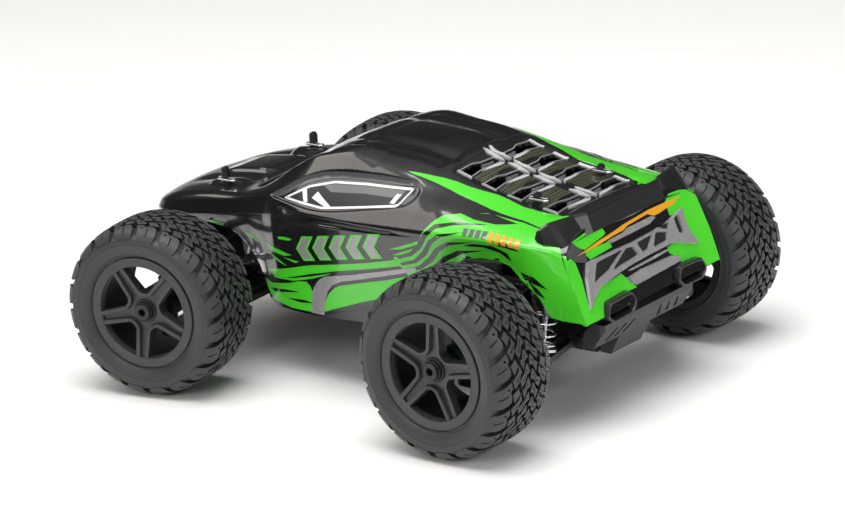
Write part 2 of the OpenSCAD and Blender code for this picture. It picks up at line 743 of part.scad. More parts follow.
// stations from nose to tail: x, then six [y, z] points from the lower edge to the crown
stations = [
  [168, [22, 70], [24, 73], [25, 76], [24, 79], [16, 81.5], [0, 82.5]],
  [164, [36, 69], [38, 73], [39, 78], [37, 82.5], [25, 85], [0, 86]],
  [154, [48, 72], [51, 76], [52, 82], [48, 87], [32, 90], [0, 91.5]],
  [138, [57, 78.5], [58.5, 80.5], [59.5, 83], [53.5, 92], [37, 94], [0, 95]],
  [112, [59.5, 81.5], [60.5, 84], [61, 86.4], [55, 97], [39, 98], [0, 98.5]],
  [92, [57, 77], [60.5, 84], [62, 89], [57, 99], [42, 100], [0, 101]],
  [76, [57.5, 64], [61, 79], [63.5, 91.4], [59, 101.5], [49, 104], [0, 109]],
  [62, [62, 41.5], [64.5, 70], [66, 93.6], [61.5, 104], [50, 111], [0, 117]],
  [52, [64, 40], [68, 70], [69, 95.6], [63.5, 106.5], [49, 118], [0, 123]],
  [30, [66, 40], [71, 74], [73.5, 99.5], [65, 110], [46.5, 129], [0, 132]],
  [6, [66.5, 41], [71.5, 74], [75, 100.5], [65, 112.5], [45, 133], [0, 136.3]],
  [-22, [66.5, 43], [71.5, 75], [76, 101.5], [65, 113.5], [43, 131.5], [0, 135]],
  [-48, [66, 47], [71.5, 77], [76, 102.5], [65, 114], [41, 127], [0, 130]],
  [-62, [66.5, 72], [71, 86], [75.5, 103], [64, 114], [40, 123], [0, 126]],
  [-84, [67.5, 90], [70, 95], [73, 104], [62, 111.5], [38.5, 117], [0, 119.5]],
  [-106, [67, 92], [69, 96.5], [71, 104], [60, 109.5], [37.5, 113], [0, 115]],
  [-124, [66, 84], [67.5, 92], [68, 103], [58, 107.5], [36.5, 110], [0, 111.5]],
  [-134, [64, 70], [65.5, 82], [64, 101.5], [56, 106], [36, 108], [0, 109]],
  [-142, [62, 62], [62.5, 80], [60, 99.5], [54, 108.5], [35, 112.6], [0, 113.4]]];
count = len(stations);
// the last two stations lean back below lean_z
lean_z = 104;
tail_lean = 0.36;
function lean(i) = i == count - 1 ? tail_lean : i == count - 2 ? 0.2 : 0;
// share of the wall thickness taken off the height of each section point
wall_share = [0, 0.25, 0.55, 0.8, 1, 1];
// section points run 0 to 10 from the left edge over the crown; both halves share one row
function half_index(j) = j <= 5 ? j : 10 - j;
function shell_point(i, j, wall) =
  let(k = half_index(j), p = stations[i][k + 1])
  [centre_x + (stations[i][0] - (lean_z - p[1]) * lean(i)) * (1 - wall / 150),
    (j <= 5 ? 1 : -1) * p[0] * (1 - wall / 60),
    p[1] - wall * wall_share[k] + body_z];
// points on the centre line that close the nose and tail
function cap(i, wall) =
  [for (k = [0:5]) let(p = shell_point(i, k, wall)) [p[0], 0, p[2]]];
function skin(wall) = concat(cap(0, wall),
  [for (i = [0:count - 1], j = [0:10]) shell_point(i, j, wall)], cap(count - 1, wall));
// point number in a skin; rows 0 and count + 1 are the caps
function skin_id(i, j) = i == 0 ? half_index(j)
  : i == count + 1 ? 6 + count * 11 + half_index(j) : 6 + (i - 1) * 11 + j;
// a face as triangles, with repeated points dropped
function without_repeats(q) =
  [for (k = [0:len(q) - 1]) if (q[k] != q[(k + 1) % len(q)]) q[k]];
function triangles(q) = len(q) < 3 ? []
  : len(q) == 3 ? [q] : [[q[0], q[1], q[2]], [q[0], q[2], q[3]]];

// [y, z] of one exhaust outlet, outside and bore
exhaust_outer = [[-13.5, -1], [-9, -6.6], [8.5, -7], [13, -2.6], [10, 5.2], [-10, 6]];
exhaust_inner = [[-11.4, -0.9], [-8, -5], [7.7, -5.4], [11, -2.2], [9, 3.7], [-9, 4.4]];

module body_shell() {
  size = 12 + count * 11; // points in one skin
  outer = [for (i = [0:count], j = [0:9]) each triangles(without_repeats(
    [skin_id(i, j), skin_id(i, j + 1), skin_id(i + 1, j + 1), skin_id(i + 1, j)]))];
  inner = [for (q = outer) [q[0] + size, q[2] + size, q[1] + size]];
  // faces that join the skins along the left and right lower edges
  edge = [for (i = [0:count])
    let(a = skin_id(i, 0), b = skin_id(i + 1, 0), c = skin_id(i, 10), d = skin_id(i + 1, 10))
    each [[a, b, b + size], [a, b + size, a + size], [d, c, c + size], [d, c + size, d + size]]];
  color([0.25, 0.80, 0.18]) difference() {
    polyhedron(concat(skin(0), skin(shell_t)), concat(outer, inner, edge));
    for (end = both, side = both) translate(concat(post_place(end, side), 60))
      cylinder(r = post_r + 0.9, h = 80);
  }
  // exhaust outlets, cut to the leaning rear face
  color([0.08, 0.08, 0.09]) translate([centre_x, 0, body_z]) for (m = both) difference() {
    translate([tail_x, m * 32, 64.5]) flip_y(m) extrude_x(0, 16) difference() {
      polygon(exhaust_outer);
      polygon(exhaust_inner);
    }
    extrude_y(60) polygon([[-142.06, lean_z], [-142.06 - (lean_z - 40) * tail_lean, 40],
      [-100, 40], [-100, lean_z]]);
  }
}

// hairpin of two straight legs joined by a bend at -x
module clip() {
  bend_r = 1.7;
  cyl_x(clip_r, -6.6, 5);
  translate([-6.6, bend_r, 0]) rotate([0, 0, 90]) rotate_extrude(angle = 180)
    translate([bend_r, 0]) circle(r = clip_r, $fn = 24);
  translate([0, 2 * bend_r, 0]) cyl_x(clip_r, -6.6, 3);
}
module body_clips() color([0.80, 0.81, 0.83]) for (end = both, side = both)
  translate(concat(post_place(end, side), axle_z + clip_z[row(end)])) clip();

wheel(front, left) tyre();  // front_left_tyre
wheel(front, right) tyre();  // front_right_tyre
wheel(rear, left) tyre();  // rear_left_tyre
wheel(rear, right) tyre();  // rear_right_tyre
wheel(front, left) rim();  // front_left_rim
wheel(front, right) rim();  // front_right_rim
wheel(rear, left) rim();  // rear_left_rim
wheel(rear, right) rim();  // rear_right_rim
stub_axle(front, left);  // front_left_stub_axle
stub_axle(front, right);  // front_right_stub_axle
stub_axle(rear, left);  // rear_left_stub_axle
stub_axle(rear, right);  // rear_right_stub_axle
lower_arm(front, left);  // front_left_lower_arm
lower_arm(front, right);  // front_right_lower_arm
lower_arm(rear, left);  // rear_left_lower_arm
lower_arm(rear, right);  // rear_right_lower_arm
upper_link(front, left);  // front_left_upper_link
upper_link(front, right);  // front_right_upper_link
upper_link(rear, left);  // rear_left_upper_link
upper_link(rear, right);  // rear_right_upper_link
kingpins(left);  // front_left_kingpins
kingpins(right);  // front_right_kingpins
hub_carrier(left);  // rear_left_hub_carrier
hub_carrier(right);  // rear_right_hub_carrier
knuckle(left);  // front_left_knuckle
knuckle(right);  // front_right_knuckle
dogbone(front, left);  // front_left_dogbone
dogbone(front, right);  // front_right_dogbone
dogbone(rear, left);  // rear_left_dogbone
dogbone(rear, right);  // rear_right_dogbone
shock_body(front, left);  // front_left_shock_body
shock_body(front, right);  // front_right_shock_body
shock_body(rear, left);  // rear_left_shock_body
shock_body(rear, right);  // rear_right_shock_body
shock_rod(front, left);  // front_left_shock_rod
shock_rod(front, right);  // front_right_shock_rod
shock_rod(rear, left);  // rear_left_shock_rod
shock_rod(rear, right);  // rear_right_shock_rod
spring(front, left);  // front_left_spring
spring(front, right);  // front_right_spring
spring(rear, left);  // rear_left_spring
spring(rear, right);  // rear_right_spring
steering_rack();
tie_rod(left);  // left_tie_rod
tie_rod(right);  // right_tie_rod
servo_horn();
centre_shaft();
motor_pinion();
diff(front);  // front_diff
diff(rear);  // rear_diff
chassis_tub();
gearbox_housings();
towers_and_posts();
bumpers();
motor();
electronics();
power_switch();
battery_pack();
body_shell();
body_clips();
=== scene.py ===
"""A radio-controlled car: body shell, treaded tyres, star rims and coil springs over CAD pieces.

Modelled in millimetres: +x is the front, +y the left, +z up, x = 0 the middle of the wheelbase and
z = 0 the floor. make_object moves the meshes into the frame of the CAD pieces, in metres.
"""

import math
from functools import cached_property

import bpy
import numpy as np
from mathutils import Matrix, Vector
from mathutils.bvhtree import BVHTree
from mathutils.geometry import delaunay_2d_cdt


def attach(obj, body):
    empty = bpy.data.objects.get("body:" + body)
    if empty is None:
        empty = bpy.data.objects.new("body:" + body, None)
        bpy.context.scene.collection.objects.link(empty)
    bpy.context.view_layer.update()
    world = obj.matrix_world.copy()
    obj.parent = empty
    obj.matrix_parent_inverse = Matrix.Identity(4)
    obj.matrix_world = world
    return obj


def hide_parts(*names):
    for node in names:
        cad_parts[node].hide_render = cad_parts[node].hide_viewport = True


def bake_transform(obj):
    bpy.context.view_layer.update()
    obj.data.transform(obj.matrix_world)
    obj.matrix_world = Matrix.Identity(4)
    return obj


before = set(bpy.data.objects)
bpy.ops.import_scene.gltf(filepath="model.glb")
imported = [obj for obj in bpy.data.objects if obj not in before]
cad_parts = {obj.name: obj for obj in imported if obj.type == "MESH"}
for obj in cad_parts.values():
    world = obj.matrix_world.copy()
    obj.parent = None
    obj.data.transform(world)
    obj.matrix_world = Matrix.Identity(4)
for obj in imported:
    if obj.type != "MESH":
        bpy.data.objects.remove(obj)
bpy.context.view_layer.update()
scene = bpy.context.scene

MM = 0.001
ORIGIN_X = -8.0  # the middle of the wheelbase in the CAD frame
AXLE_X = 105.0  # axles ahead of and behind the middle
TYRE_RADIUS = 50.0
AXLE_Z = TYRE_RADIUS
PIVOT_Y = 102.0  # steering pivots
HUB_OUT = 8.0  # wheel centre outboard of the pivot
STEER = math.radians(12)
# name, 1 front or -1 rear, 1 left or -1 right
CORNERS = [
    ("front_left", 1, 1), ("front_right", 1, -1), ("rear_left", -1, 1), ("rear_right", -1, -1),
]


# ------------------------------------------------------------------ materials
def feed(tree, node, inputs):
    """Sets input sockets to plain values or colours, or links them to output sockets."""
    for key, value in inputs.items():
        socket = node.inputs[key]
        if isinstance(value, bpy.types.NodeSocket):
            tree.links.new(value, socket)
        else:
            socket.default_value = (*value, 1) if socket.type == "RGBA" else value


def add_node(tree, kind, inputs=None):
    node = tree.nodes.new("ShaderNode" + kind)
    feed(tree, node, inputs or {})
    return node


def add_ramp(tree, factor, stops):
    """Colour ramp through stops of (position, colour)."""
    ramp = add_node(tree, "ValToRGB", {0: factor})
    elements = ramp.color_ramp.elements
    for i in (0, -1):
        elements[i].position = stops[i][0]
        elements[i].color = (*stops[i][1], 1)
    for position, color in stops[1:-1]:
        elements.new(position).color = (*color, 1)
    return ramp.outputs[0]


class Material:
    """A material with one Principled shader and short ways to feed it."""

    def __init__(self, name):
        self.data = bpy.data.materials.new(name)
        self.data.use_nodes = True
        self.tree = self.data.node_tree
        self.tree.nodes.clear()
        self.shader = add_node(self.tree, "BsdfPrincipled")
        add_node(self.tree, "OutputMaterial", {0: self.shader.outputs[0]})

    @cached_property
    def coordinates(self):
        return add_node(self.tree, "TexCoord").outputs["Object"]

    def noise(self, scale, detail):
        inputs = {"Scale": scale, "Detail": detail, "Roughness": 0.55, "Vector": self.coordinates}
        return add_node(self.tree, "TexNoise", inputs).outputs["Fac"]

    def mottle(self, factor, color, vary):
        """A colour that varies by the fraction vary to either side."""
        dark, light = (tuple(c * k for c in color) for k in (1 - vary, 1 + vary))
        return add_ramp(self.tree, factor, [(0.3, dark), (0.7, light)])

    def remap(self, value, low, high, start=0.3, end=0.7):
        """Maps start..end to low..high."""
        inputs = {0: value, 1: start, 2: end, 3: low, 4: high}
        return add_node(self.tree, "MapRange", inputs).outputs[0]

    def bump(self, height, strength, distance, over=None):
        inputs = {"Strength": strength, "Distance": distance, "Height": height}
        if over is not None:
            inputs["Normal"] = over
        return add_node(self.tree, "Bump", inputs).outputs[0]

    def finish(self, inputs):
        feed(self.tree, self.shader, inputs)
        return self.data


def moulded(name, color, rough, metal=0.0, coat=0.0, vary=0.12, grain=900, bump=0.15):
    """Moulded plastic or metal: slow colour change, fine change of roughness and height."""
    mat = Material(name)
    fine = mat.noise(scale=grain, detail=2)
    return mat.finish({
        "Base Color": mat.mottle(mat.noise(scale=90, detail=4), color, vary),
        "Roughness": mat.remap(fine, low=rough - 0.08, high=rough + 0.08),
        "Metallic": metal,
        "IOR": 1.5,
        "Coat Weight": coat,
        "Coat Roughness": 0.05,
        "Normal": mat.bump(fine, strength=bump, distance=0.00015),
    })


def gloss(name, color, rough, metal=0.0, coat=1.0):
    """Clear-coated paint with a faint, slow ripple."""
    mat = Material(name)
    return mat.finish({
        "Base Color": mat.mottle(mat.noise(scale=30, detail=2), color, vary=0.03),
        "Roughness": mat.remap(
            mat.noise(scale=60, detail=1), low=rough - 0.008, high=rough + 0.010),
        "Coat Weight": coat,
        "Coat Roughness": 0.035,
        "Metallic": metal,
        "IOR": 1.52,
        "Normal": mat.bump(mat.noise(scale=38, detail=1), strength=0.03, distance=0.0004),
    })


def rubber(name, shade):
    """Tyre rubber; shade scales its brightness."""
    mat = Material(name)
    slow = mat.noise(scale=55, detail=5)
    dark = (0.024 * shade, 0.025 * shade, 0.027 * shade)
    light = (0.038 * shade, 0.039 * shade, 0.042 * shade)
    coarse = mat.bump(mat.noise(scale=260, detail=2), strength=0.15, distance=0.0003)
    fine = mat.noise(scale=1500, detail=3)
    return mat.finish({
        "Base Color": add_ramp(mat.tree, slow, [(0.25, dark), (0.75, light)]),
        "Roughness": mat.remap(slow, low=0.44, high=0.58),
        "Normal": mat.bump(fine, strength=0.25, distance=0.0002, over=coarse),
        "IOR": 1.5,
        "Sheen Weight": 0.12,
    })


def carbon(name):
    """Woven carbon: a fine check turned by 45 degrees under a clear coat."""
    mat = Material(name)
    turned_by = (0, 0, math.radians(45))
    mapping = add_node(mat.tree, "Mapping", {0: mat.coordinates, "Rotation": turned_by})
    check = add_node(mat.tree, "TexChecker", {
        "Vector": mapping.outputs[0],
        "Scale": 560.0,
        "Color1": (0.020, 0.022, 0.014),
        "Color2": (0.115, 0.120, 0.070),
    })
    weave = check.outputs["Fac"]
    return mat.finish({
        "Base Color": check.outputs["Color"],
        "Roughness": mat.remap(weave, low=0.28, high=0.42, start=0, end=1),
        "Metallic": 0.35,
        "Coat Weight": 1.0,
        "Coat Roughness": 0.04,
        "Normal": mat.bump(weave, strength=0.2, distance=0.0002),
    })


# name: colour, roughness, other settings of gloss
GLOSSY = {
    "deck_silver": ((0.68, 0.68, 0.69), 0.20, dict(metal=0.25, coat=0.8)),
    "window_pane": ((0.007, 0.007, 0.008), 0.40, dict(coat=0.15)),
    "spoiler": ((0.010, 0.010, 0.011), 0.36, dict(coat=0.25)),
    "body_black": ((0.0065, 0.0065, 0.0070), 0.17, {}),
    "body_green": ((0.070, 0.640, 0.022), 0.26, dict(coat=0.7)),
    "body_silver": ((0.330, 0.322, 0.335), 0.27, dict(metal=0.25, coat=0.9)),
    "body_grey": ((0.085, 0.085, 0.090), 0.28, dict(metal=0.2)),
    "body_white": ((0.78, 0.78, 0.78), 0.25, {}),
    "body_orange": ((0.80, 0.36, 0.010), 0.28, {}),
}
# name: colour, roughness, other settings of moulded
MOULDED = {
    "rim_plastic": ((0.040, 0.040, 0.040), 0.36, dict(grain=1400, bump=0.18, vary=0.06)),
    # a darker copy of the rim plastic: painted shade inside the barrel and on the sunken hub
    "rim_barrel": ((0.014, 0.014, 0.015), 0.45, dict(grain=1400, bump=0.12, vary=0.06)),
    "black_steel": ((0.030, 0.030, 0.032), 0.34, dict(metal=0.7, bump=0.1, vary=0.1)),
    "satin_black": ((0.020, 0.020, 0.021), 0.34, dict(grain=1200, bump=0.12, coat=0.15)),
    "body_inner": ((0.018, 0.018, 0.019), 0.55, {}),
    "arm_plastic": ((0.026, 0.026, 0.028), 0.46, dict(grain=1100, bump=0.2)),
    "chassis_plastic": ((0.018, 0.018, 0.020), 0.50, dict(grain=800, bump=0.25)),
    "bumper_plastic": ((0.050, 0.050, 0.051), 0.48, dict(grain=1000, bump=0.2)),
    "steel": ((0.56, 0.56, 0.58), 0.28, dict(metal=1.0, grain=1500, bump=0.06, vary=0.08)),
    "spring_steel": ((0.66, 0.66, 0.68), 0.20, dict(metal=1.0, grain=1800, bump=0.04, vary=0.06)),
    "gear_steel": ((0.38, 0.38, 0.40), 0.34, dict(metal=1.0, grain=1500, bump=0.08)),
    "brass": ((0.70, 0.50, 0.20), 0.30, dict(metal=1.0, grain=1500, bump=0.06)),
    "shock_plastic": ((0.022, 0.022, 0.024), 0.36, dict(grain=1300, bump=0.12, coat=0.2)),
    "horn_plastic": ((0.62, 0.62, 0.60), 0.45, {}),
    "motor_can": ((0.34, 0.35, 0.37), 0.33, dict(metal=1.0, grain=1400, bump=0.08)),
    "electronics_case": ((0.030, 0.030, 0.034), 0.42, dict(grain=1000, bump=0.2)),
    "switch_plastic": ((0.50, 0.03, 0.02), 0.40, {}),
    "battery_wrap": ((0.012, 0.026, 0.090), 0.30, dict(grain=500, bump=0.1, coat=0.3)),
    "clip_wire": ((0.72, 0.72, 0.74), 0.18, dict(metal=1.0, grain=1500, bump=0.03)),
}
MATERIALS = {
    "tyre_rubber": rubber("tyre_rubber_mat", shade=1.0),
    # the same rubber at about a fifth of the brightness: painted shade for the tread grooves
    "tyre_groove_painted_shade": rubber("tyre_groove_mat", shade=0.22),
    "carbon_weave": carbon("carbon_weave_mat"),
}
for make, table in ((gloss, GLOSSY), (moulded, MOULDED)):
    for name, (color, rough, settings) in table.items():
        MATERIALS[name] = make(f"{name}_mat", color, rough, **settings)

# material: its CAD pieces, by full name or, with a leading underscore, by the end of the name
CAD_PIECES = {
    "tyre_rubber": "_tyre",
    "rim_plastic": "_rim",
    "black_steel": "_stub_axle",
    "arm_plastic": "_lower_arm _upper_link _hub_carrier _knuckle steering_rack",
    "steel": "_kingpins _dogbone _shock_rod _tie_rod",
    "shock_plastic": "_shock_body",
    "spring_steel": "_spring",
    "horn_plastic": "servo_horn",
    "gear_steel": "centre_shaft _diff",
    "brass": "motor_pinion",
    "chassis_plastic": "chassis_tub gearbox_housings towers_and_posts",
    "bumper_plastic": "bumpers",
    "motor_can": "motor",
    "electronics_case": "electronics",
    "switch_plastic": "power_switch",
    "battery_wrap": "battery_pack",
    "body_black": "body_shell",
    "clip_wire": "body_clips",
}


def cad_material(node):
    for material, keys in CAD_PIECES.items():
        for key in keys.split():
            if node == key or (key[0] == "_" and node.endswith(key)):
                return MATERIALS[material]


for node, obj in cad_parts.items():
    obj.data.materials.clear()
    obj.data.materials.append(cad_material(node))
    # a small bevel catches light along the sharp edges and leaves the mesh alone
    bevel = obj.modifiers.new("edge", "BEVEL")
    bevel.width = 0.00022
    bevel.segments = 1
    bevel.limit_method = "ANGLE"
    bevel.angle_limit = math.radians(38)
    bevel.use_clamp_overlap = True
    bevel.harden_normals = False


# ------------------------------------------------------------------ mesh helpers
def make_object(name, verts, faces, mats, index=None, body=None, slot=None, angle=32, replaces=()):
    """One object from points in mm; mats are names, angle is where shading turns sharp."""
    verts = np.array(verts, float)
    verts[:, 0] += ORIGIN_X
    mesh = bpy.data.meshes.new(name)
    mesh.from_pydata((verts * MM).tolist(), [], [list(map(int, face)) for face in faces])
    mesh.validate(clean_customdata=False)
    for mat in mats:
        mesh.materials.append(MATERIALS[mat])
    # validate may drop faces, and the list would then no longer line up
    if index is not None and len(index) == len(mesh.polygons):
        mesh.polygons.foreach_set("material_index", np.asarray(index, np.int32))
    shade(mesh, angle)
    mesh.update()
    obj = bpy.data.objects.new(name, mesh)
    scene.collection.objects.link(obj)
    if body:
        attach(obj, body)
    if replaces:
        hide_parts(*replaces)
    return obj


def shade(mesh, angle):
    mesh.polygons.foreach_set("use_smooth", np.ones(len(mesh.polygons), bool))
    mesh.set_sharp_from_angle(angle=math.radians(angle))


def shell_part(name, verts, faces, mat, angle=32):
    return make_object(name, verts, faces, [mat], body="body_shell", slot="body_paint", angle=angle)


class Bag:
    """Collects closed pieces into one mesh."""

    def __init__(self):
        self.parts, self.faces, self.index, self.count = [], [], [], 0

    def add(self, verts, faces, index=0):
        """index is one material index, or a list with one for each face."""
        self.parts.append(np.asarray(verts, float))
        self.faces += [[i + self.count for i in face] for face in faces]
        self.index += index if isinstance(index, list) else [index] * len(faces)
        self.count += len(verts)

    def add_pair(self, verts, faces):
        """A piece on the left and its mirror image on the right."""
        self.add(verts, faces)
        self.add(verts * MIRROR, turned(faces))

    def verts(self):
        return np.concatenate(self.parts)


MIRROR = [1, -1, 1]


def turned(faces):
    return [face[::-1] for face in faces]


def inside(outline, points):
    """Even-odd test of 2D points."""
    a = np.asarray(outline, float)
    b = np.roll(a, -1, axis=0)
    x, y = points[:, 0][:, None], points[:, 1][:, None]
    spans = (a[None, :, 1] > y) != (b[None, :, 1] > y)
    with np.errstate(divide="ignore", invalid="ignore"):
        slope = (b[None, :, 0] - a[None, :, 0]) * (y - a[None, :, 1])
        cross_x = slope / (b[None, :, 1] - a[None, :, 1]) + a[None, :, 0]
    return (spans & (x < cross_x)).sum(1) % 2 == 1


def edge_distance(outline, points):
    a = np.asarray(outline, float)[None]
    along = np.roll(a, -1, axis=1) - a
    p = points[:, None, :]
    t = np.clip(((p - a) * along).sum(-1) / np.maximum((along * along).sum(-1), 1e-12), 0, 1)
    return np.sqrt((((a + along * t[..., None]) - p) ** 2).sum(-1)).min(1)


def inset(outline, gap):
    """Moves every edge of an outline inwards by gap."""
    p = np.asarray(outline, float)
    area = (p[:, 0] * np.roll(p[:, 1], -1) - np.roll(p[:, 0], -1) * p[:, 1]).sum()
    edge = np.roll(p, -1, axis=0) - p
    edge /= np.maximum(np.linalg.norm(edge, axis=1, keepdims=True), 1e-9)
    normal = np.stack([-edge[:, 1], edge[:, 0]], 1) * (1 if area > 0 else -1)
    before = np.roll(normal, 1, axis=0)
    # the lower limit keeps sharp corners from shooting out
    miter = np.clip(1 + (normal * before).sum(1, keepdims=True), 0.35, 2)
    return p + (normal + before) / miter * gap


def refine(outline, step, onto=None):
    """Splits edges longer than step; with onto, the matching points of that outline."""
    onto = outline if onto is None else onto
    out = []
    for i in range(len(outline)):
        j = (i + 1) % len(outline)
        length = np.linalg.norm(np.asarray(outline[j], float) - np.asarray(outline[i], float))
        parts = max(1, int(math.ceil(length / step)))
        a, b = np.asarray(onto[i], float), np.asarray(onto[j], float)
        out += [a + (b - a) * k / parts for k in range(parts)]
    return np.array(out)


def rounded(outline, radius, count=4):
    """Rounds each corner with a quadratic arc of count points that starts radius away."""
    p = np.asarray(outline, float)
    out = []
    for i in range(len(p)):
        a, c, b = p[i - 1], p[i], p[(i + 1) % len(p)]
        length_a, length_b = np.linalg.norm(a - c), np.linalg.norm(b - c)
        start = c + (a - c) / max(length_a, 1e-9) * min(radius, length_a * 0.48)
        end = c + (b - c) / max(length_b, 1e-9) * min(radius, length_b * 0.48)
        ts = np.linspace(0, 1, count)
        out += [(1 - t) ** 2 * start + 2 * t * (1 - t) * c + t * t * end for t in ts]
    return np.array(out)


def catmull_rom(p0, p1, p2, p3, count):
    """count points of a smooth curve from p1 towards p2."""
    square, cube = 2 * p0 - 5 * p1 + 4 * p2 - p3, 3 * p1 - p0 - 3 * p2 + p3
    ts = np.linspace(0, 1, count, endpoint=False)
    return [0.5 * (2 * p1 + (p2 - p0) * t + square * t * t + cube * t ** 3) for t in ts]


def closed_curve(outline):
    p = np.asarray(outline, float)
    out = []
    for i in range(len(p)):
        out += catmull_rom(p[i - 1], p[i], p[(i + 1) % len(p)], p[(i + 2) % len(p)], 3)
    return np.array(out)


def open_curve(points):
    p = np.asarray(points, float)
    p = np.concatenate([[2 * p[0] - p[1]], p, [2 * p[-1] - p[-2]]])
    out = []
    for i in range(1, len(p) - 2):
        out += catmull_rom(p[i - 1], p[i], p[i + 1], p[i + 2], 8)
    return np.array(out + [p[-2]])


def circle(cx, cy, r, count=7):
    angles = [2 * math.pi * i / count for i in range(count)]
    return [(cx + r * math.cos(a), cy + r * math.sin(a)) for a in angles]


def cross_2d(tri):
    side, other = tri[:, 1] - tri[:, 0], tri[:, 2] - tri[:, 0]
    return side[:, 0] * other[:, 1] - side[:, 1] * other[:, 0]


def triangulate(outer, step, holes=(), lines=()):
    """Points and anticlockwise triangles of a flat region; lines are kept as edges."""
    loops = [refine(loop, step) for loop in [outer, *holes]]
    points, edges = [], []
    for loop in loops:
        k = len(points)
        points += loop.tolist()
        edges += [(k + i, k + (i + 1) % len(loop)) for i in range(len(loop))]
    low, high = loops[0].min(0), loops[0].max(0)
    axes = [np.arange(low[i] + step / 2, high[i], step) for i in (0, 1)]
    grid = np.stack(np.meshgrid(*axes), -1).reshape(-1, 2)
    keep = inside(loops[0], grid)
    for loop in loops:
        keep &= edge_distance(loop, grid) > step * 0.35
    for loop in loops[1:]:
        keep &= ~inside(loop, grid)
    points += grid[keep].tolist()
    for line in lines:
        k = len(points)
        points += line.tolist()
        edges += [(k + i, k + i + 1) for i in range(len(line) - 1)]
    verts, _, tris, *_ = delaunay_2d_cdt([Vector(p) for p in points], edges, [], 0, 1e-4)
    verts = np.array([list(p) for p in verts])
    tris = np.array([list(t) for t in tris])
    middle = verts[tris].mean(1)
    keep = inside(loops[0], middle)
    for loop in loops[1:]:
        keep &= ~inside(loop, middle)
    used, tris = np.unique(tris[keep], return_inverse=True)
    tris = tris.reshape(-1, 3)
    verts = verts[used]
    clockwise = cross_2d(verts[tris]) < 0
    tris[clockwise] = tris[clockwise][:, ::-1]
    return verts, tris


def border(tris):
    """Directed edges that belong to one triangle only."""
    edges = {(int(t[i]), int(t[(i + 1) % 3])): None for t in tris for i in range(3)}
    return [edge for edge in edges if (edge[1], edge[0]) not in edges]


def solid(tris, top, bottom, flip=False):
    """Closed solid between two layers of points over the same triangles."""
    n = len(top)
    faces = [list(t) for t in tris] + [[t[0] + n, t[2] + n, t[1] + n] for t in tris]
    faces += [[a, a + n, b + n, b] for a, b in border(tris)]
    return np.concatenate([top, bottom]), turned(faces) if flip else faces


def add_prism(bag, outline, step, top, bottom):
    """Upright prism over a plan outline."""
    flat, tris = triangulate(outline, step)
    bag.add(*solid(tris, *(np.c_[flat, np.full(len(flat), z)] for z in (top, bottom))))


def spread(flat, tris, pairs):
    """Moves the border points of a region from loops onto wider loops, given as pairs."""
    foot = flat.copy()
    rim = np.unique([i for edge in border(tris) for i in edge])
    source = np.concatenate([refine(a, 0.4) for a, _ in pairs])
    wider = np.concatenate([refine(a, 0.4, b) for a, b in pairs])
    nearest = np.linalg.norm(flat[rim][:, None] - source[None], axis=-1).argmin(1)
    foot[rim] = wider[nearest]
    return foot


def faces_along(points, tris, normals):
    a = points[tris]
    cross = np.cross(a[:, 1] - a[:, 0], a[:, 2] - a[:, 0])
    return (cross * normals[tris[:, 0]]).sum() > 0


def revolve(profile, count, place, flip):
    """Closed profile of (u, r) turned about the axis; place(u, r, theta) gives the points."""
    profile = np.asarray(profile, float)
    m = len(profile)
    angles = np.arange(count) * 2 * math.pi / count
    verts = [place(profile[:, 0], profile[:, 1], np.full(m, angle)) for angle in angles]
    faces = []
    for i in range(count):
        a, b = i * m, ((i + 1) % count) * m
        for j in range(m):
            k = (j + 1) % m
            faces.append([a + j, b + j, b + k, a + k])
    return np.concatenate(verts), turned(faces) if flip else faces


def loft_faces(rings, m, flip=False):
    """Faces of a capped tube through rings of m points each."""
    faces = []
    for i in range(rings - 1):
        for j in range(m):
            a, b = i * m + j, i * m + (j + 1) % m
            faces.append([a, b, b + m, a + m])
    faces.append(list(range(m))[::-1])
    faces.append([(rings - 1) * m + j for j in range(m)])
    return turned(faces) if flip else faces


# ------------------------------------------------------------------ tyres
def wheel_place(front, side):
    """Maps wheel coordinates (u outboard, r, theta from the top towards the front) to mm."""
    angle = STEER if front > 0 else 0.0
    forward = np.array([math.cos(angle), math.sin(angle), 0])
    left = np.array([-math.sin(angle), math.cos(angle), 0])
    centre = np.array([front * AXLE_X, side * PIVOT_Y, AXLE_Z]) + left * side * HUB_OUT
    up = np.array([0, 0, 1.0])

    def place(u, r, theta):
        outboard = centre + np.multiply.outer(np.asarray(u) * side, left)
        ahead = np.multiply.outer(np.asarray(r) * np.sin(theta), forward)
        return outboard + ahead + np.multiply.outer(np.asarray(r) * np.cos(theta), up)

    return place


# outer profile of the tyre from the middle of the tread to the bead, as (u, r)
CROWN = open_curve([
    (0, TYRE_RADIUS), (6, 49.95), (12, 49.6), (16.5, 48.8), (20, 47.4), (22.3, 45.2),
    (23.3, 42.2), (23.4, 39.5), (22.8, 36.8), (21.7, 34.6), (20.9, 33.9),
])
CROWN_ARC = np.concatenate([[0], np.cumsum(np.linalg.norm(np.diff(CROWN, axis=0), axis=1))])


def crown_normals():
    """Unit normals of the crown, pointing away from the inside of the tube near (0, 40)."""
    tangent = np.gradient(CROWN, CROWN_ARC, axis=0)
    normal = np.stack([-tangent[:, 1], tangent[:, 0]], 1)
    normal = normal / np.linalg.norm(normal, axis=1, keepdims=True)
    return normal * np.sign(((CROWN - [0, 40]) * normal).sum(1, keepdims=True))


CROWN_NORMAL = crown_normals()


def tread_point(across, height):
    """(u, r) at an arc length across from the middle, raised by height along the normal."""
    across = np.asarray(across, float)
    arc = np.abs(across)
    u, r = (np.interp(arc, CROWN_ARC, CROWN[:, i]) for i in (0, 1))
    normal_u, normal_r = (np.interp(arc, CROWN_ARC, CROWN_NORMAL[:, i]) for i in (0, 1))
    return (u + normal_u * height) * np.where(across < 0, -1, 1), r + normal_r * height


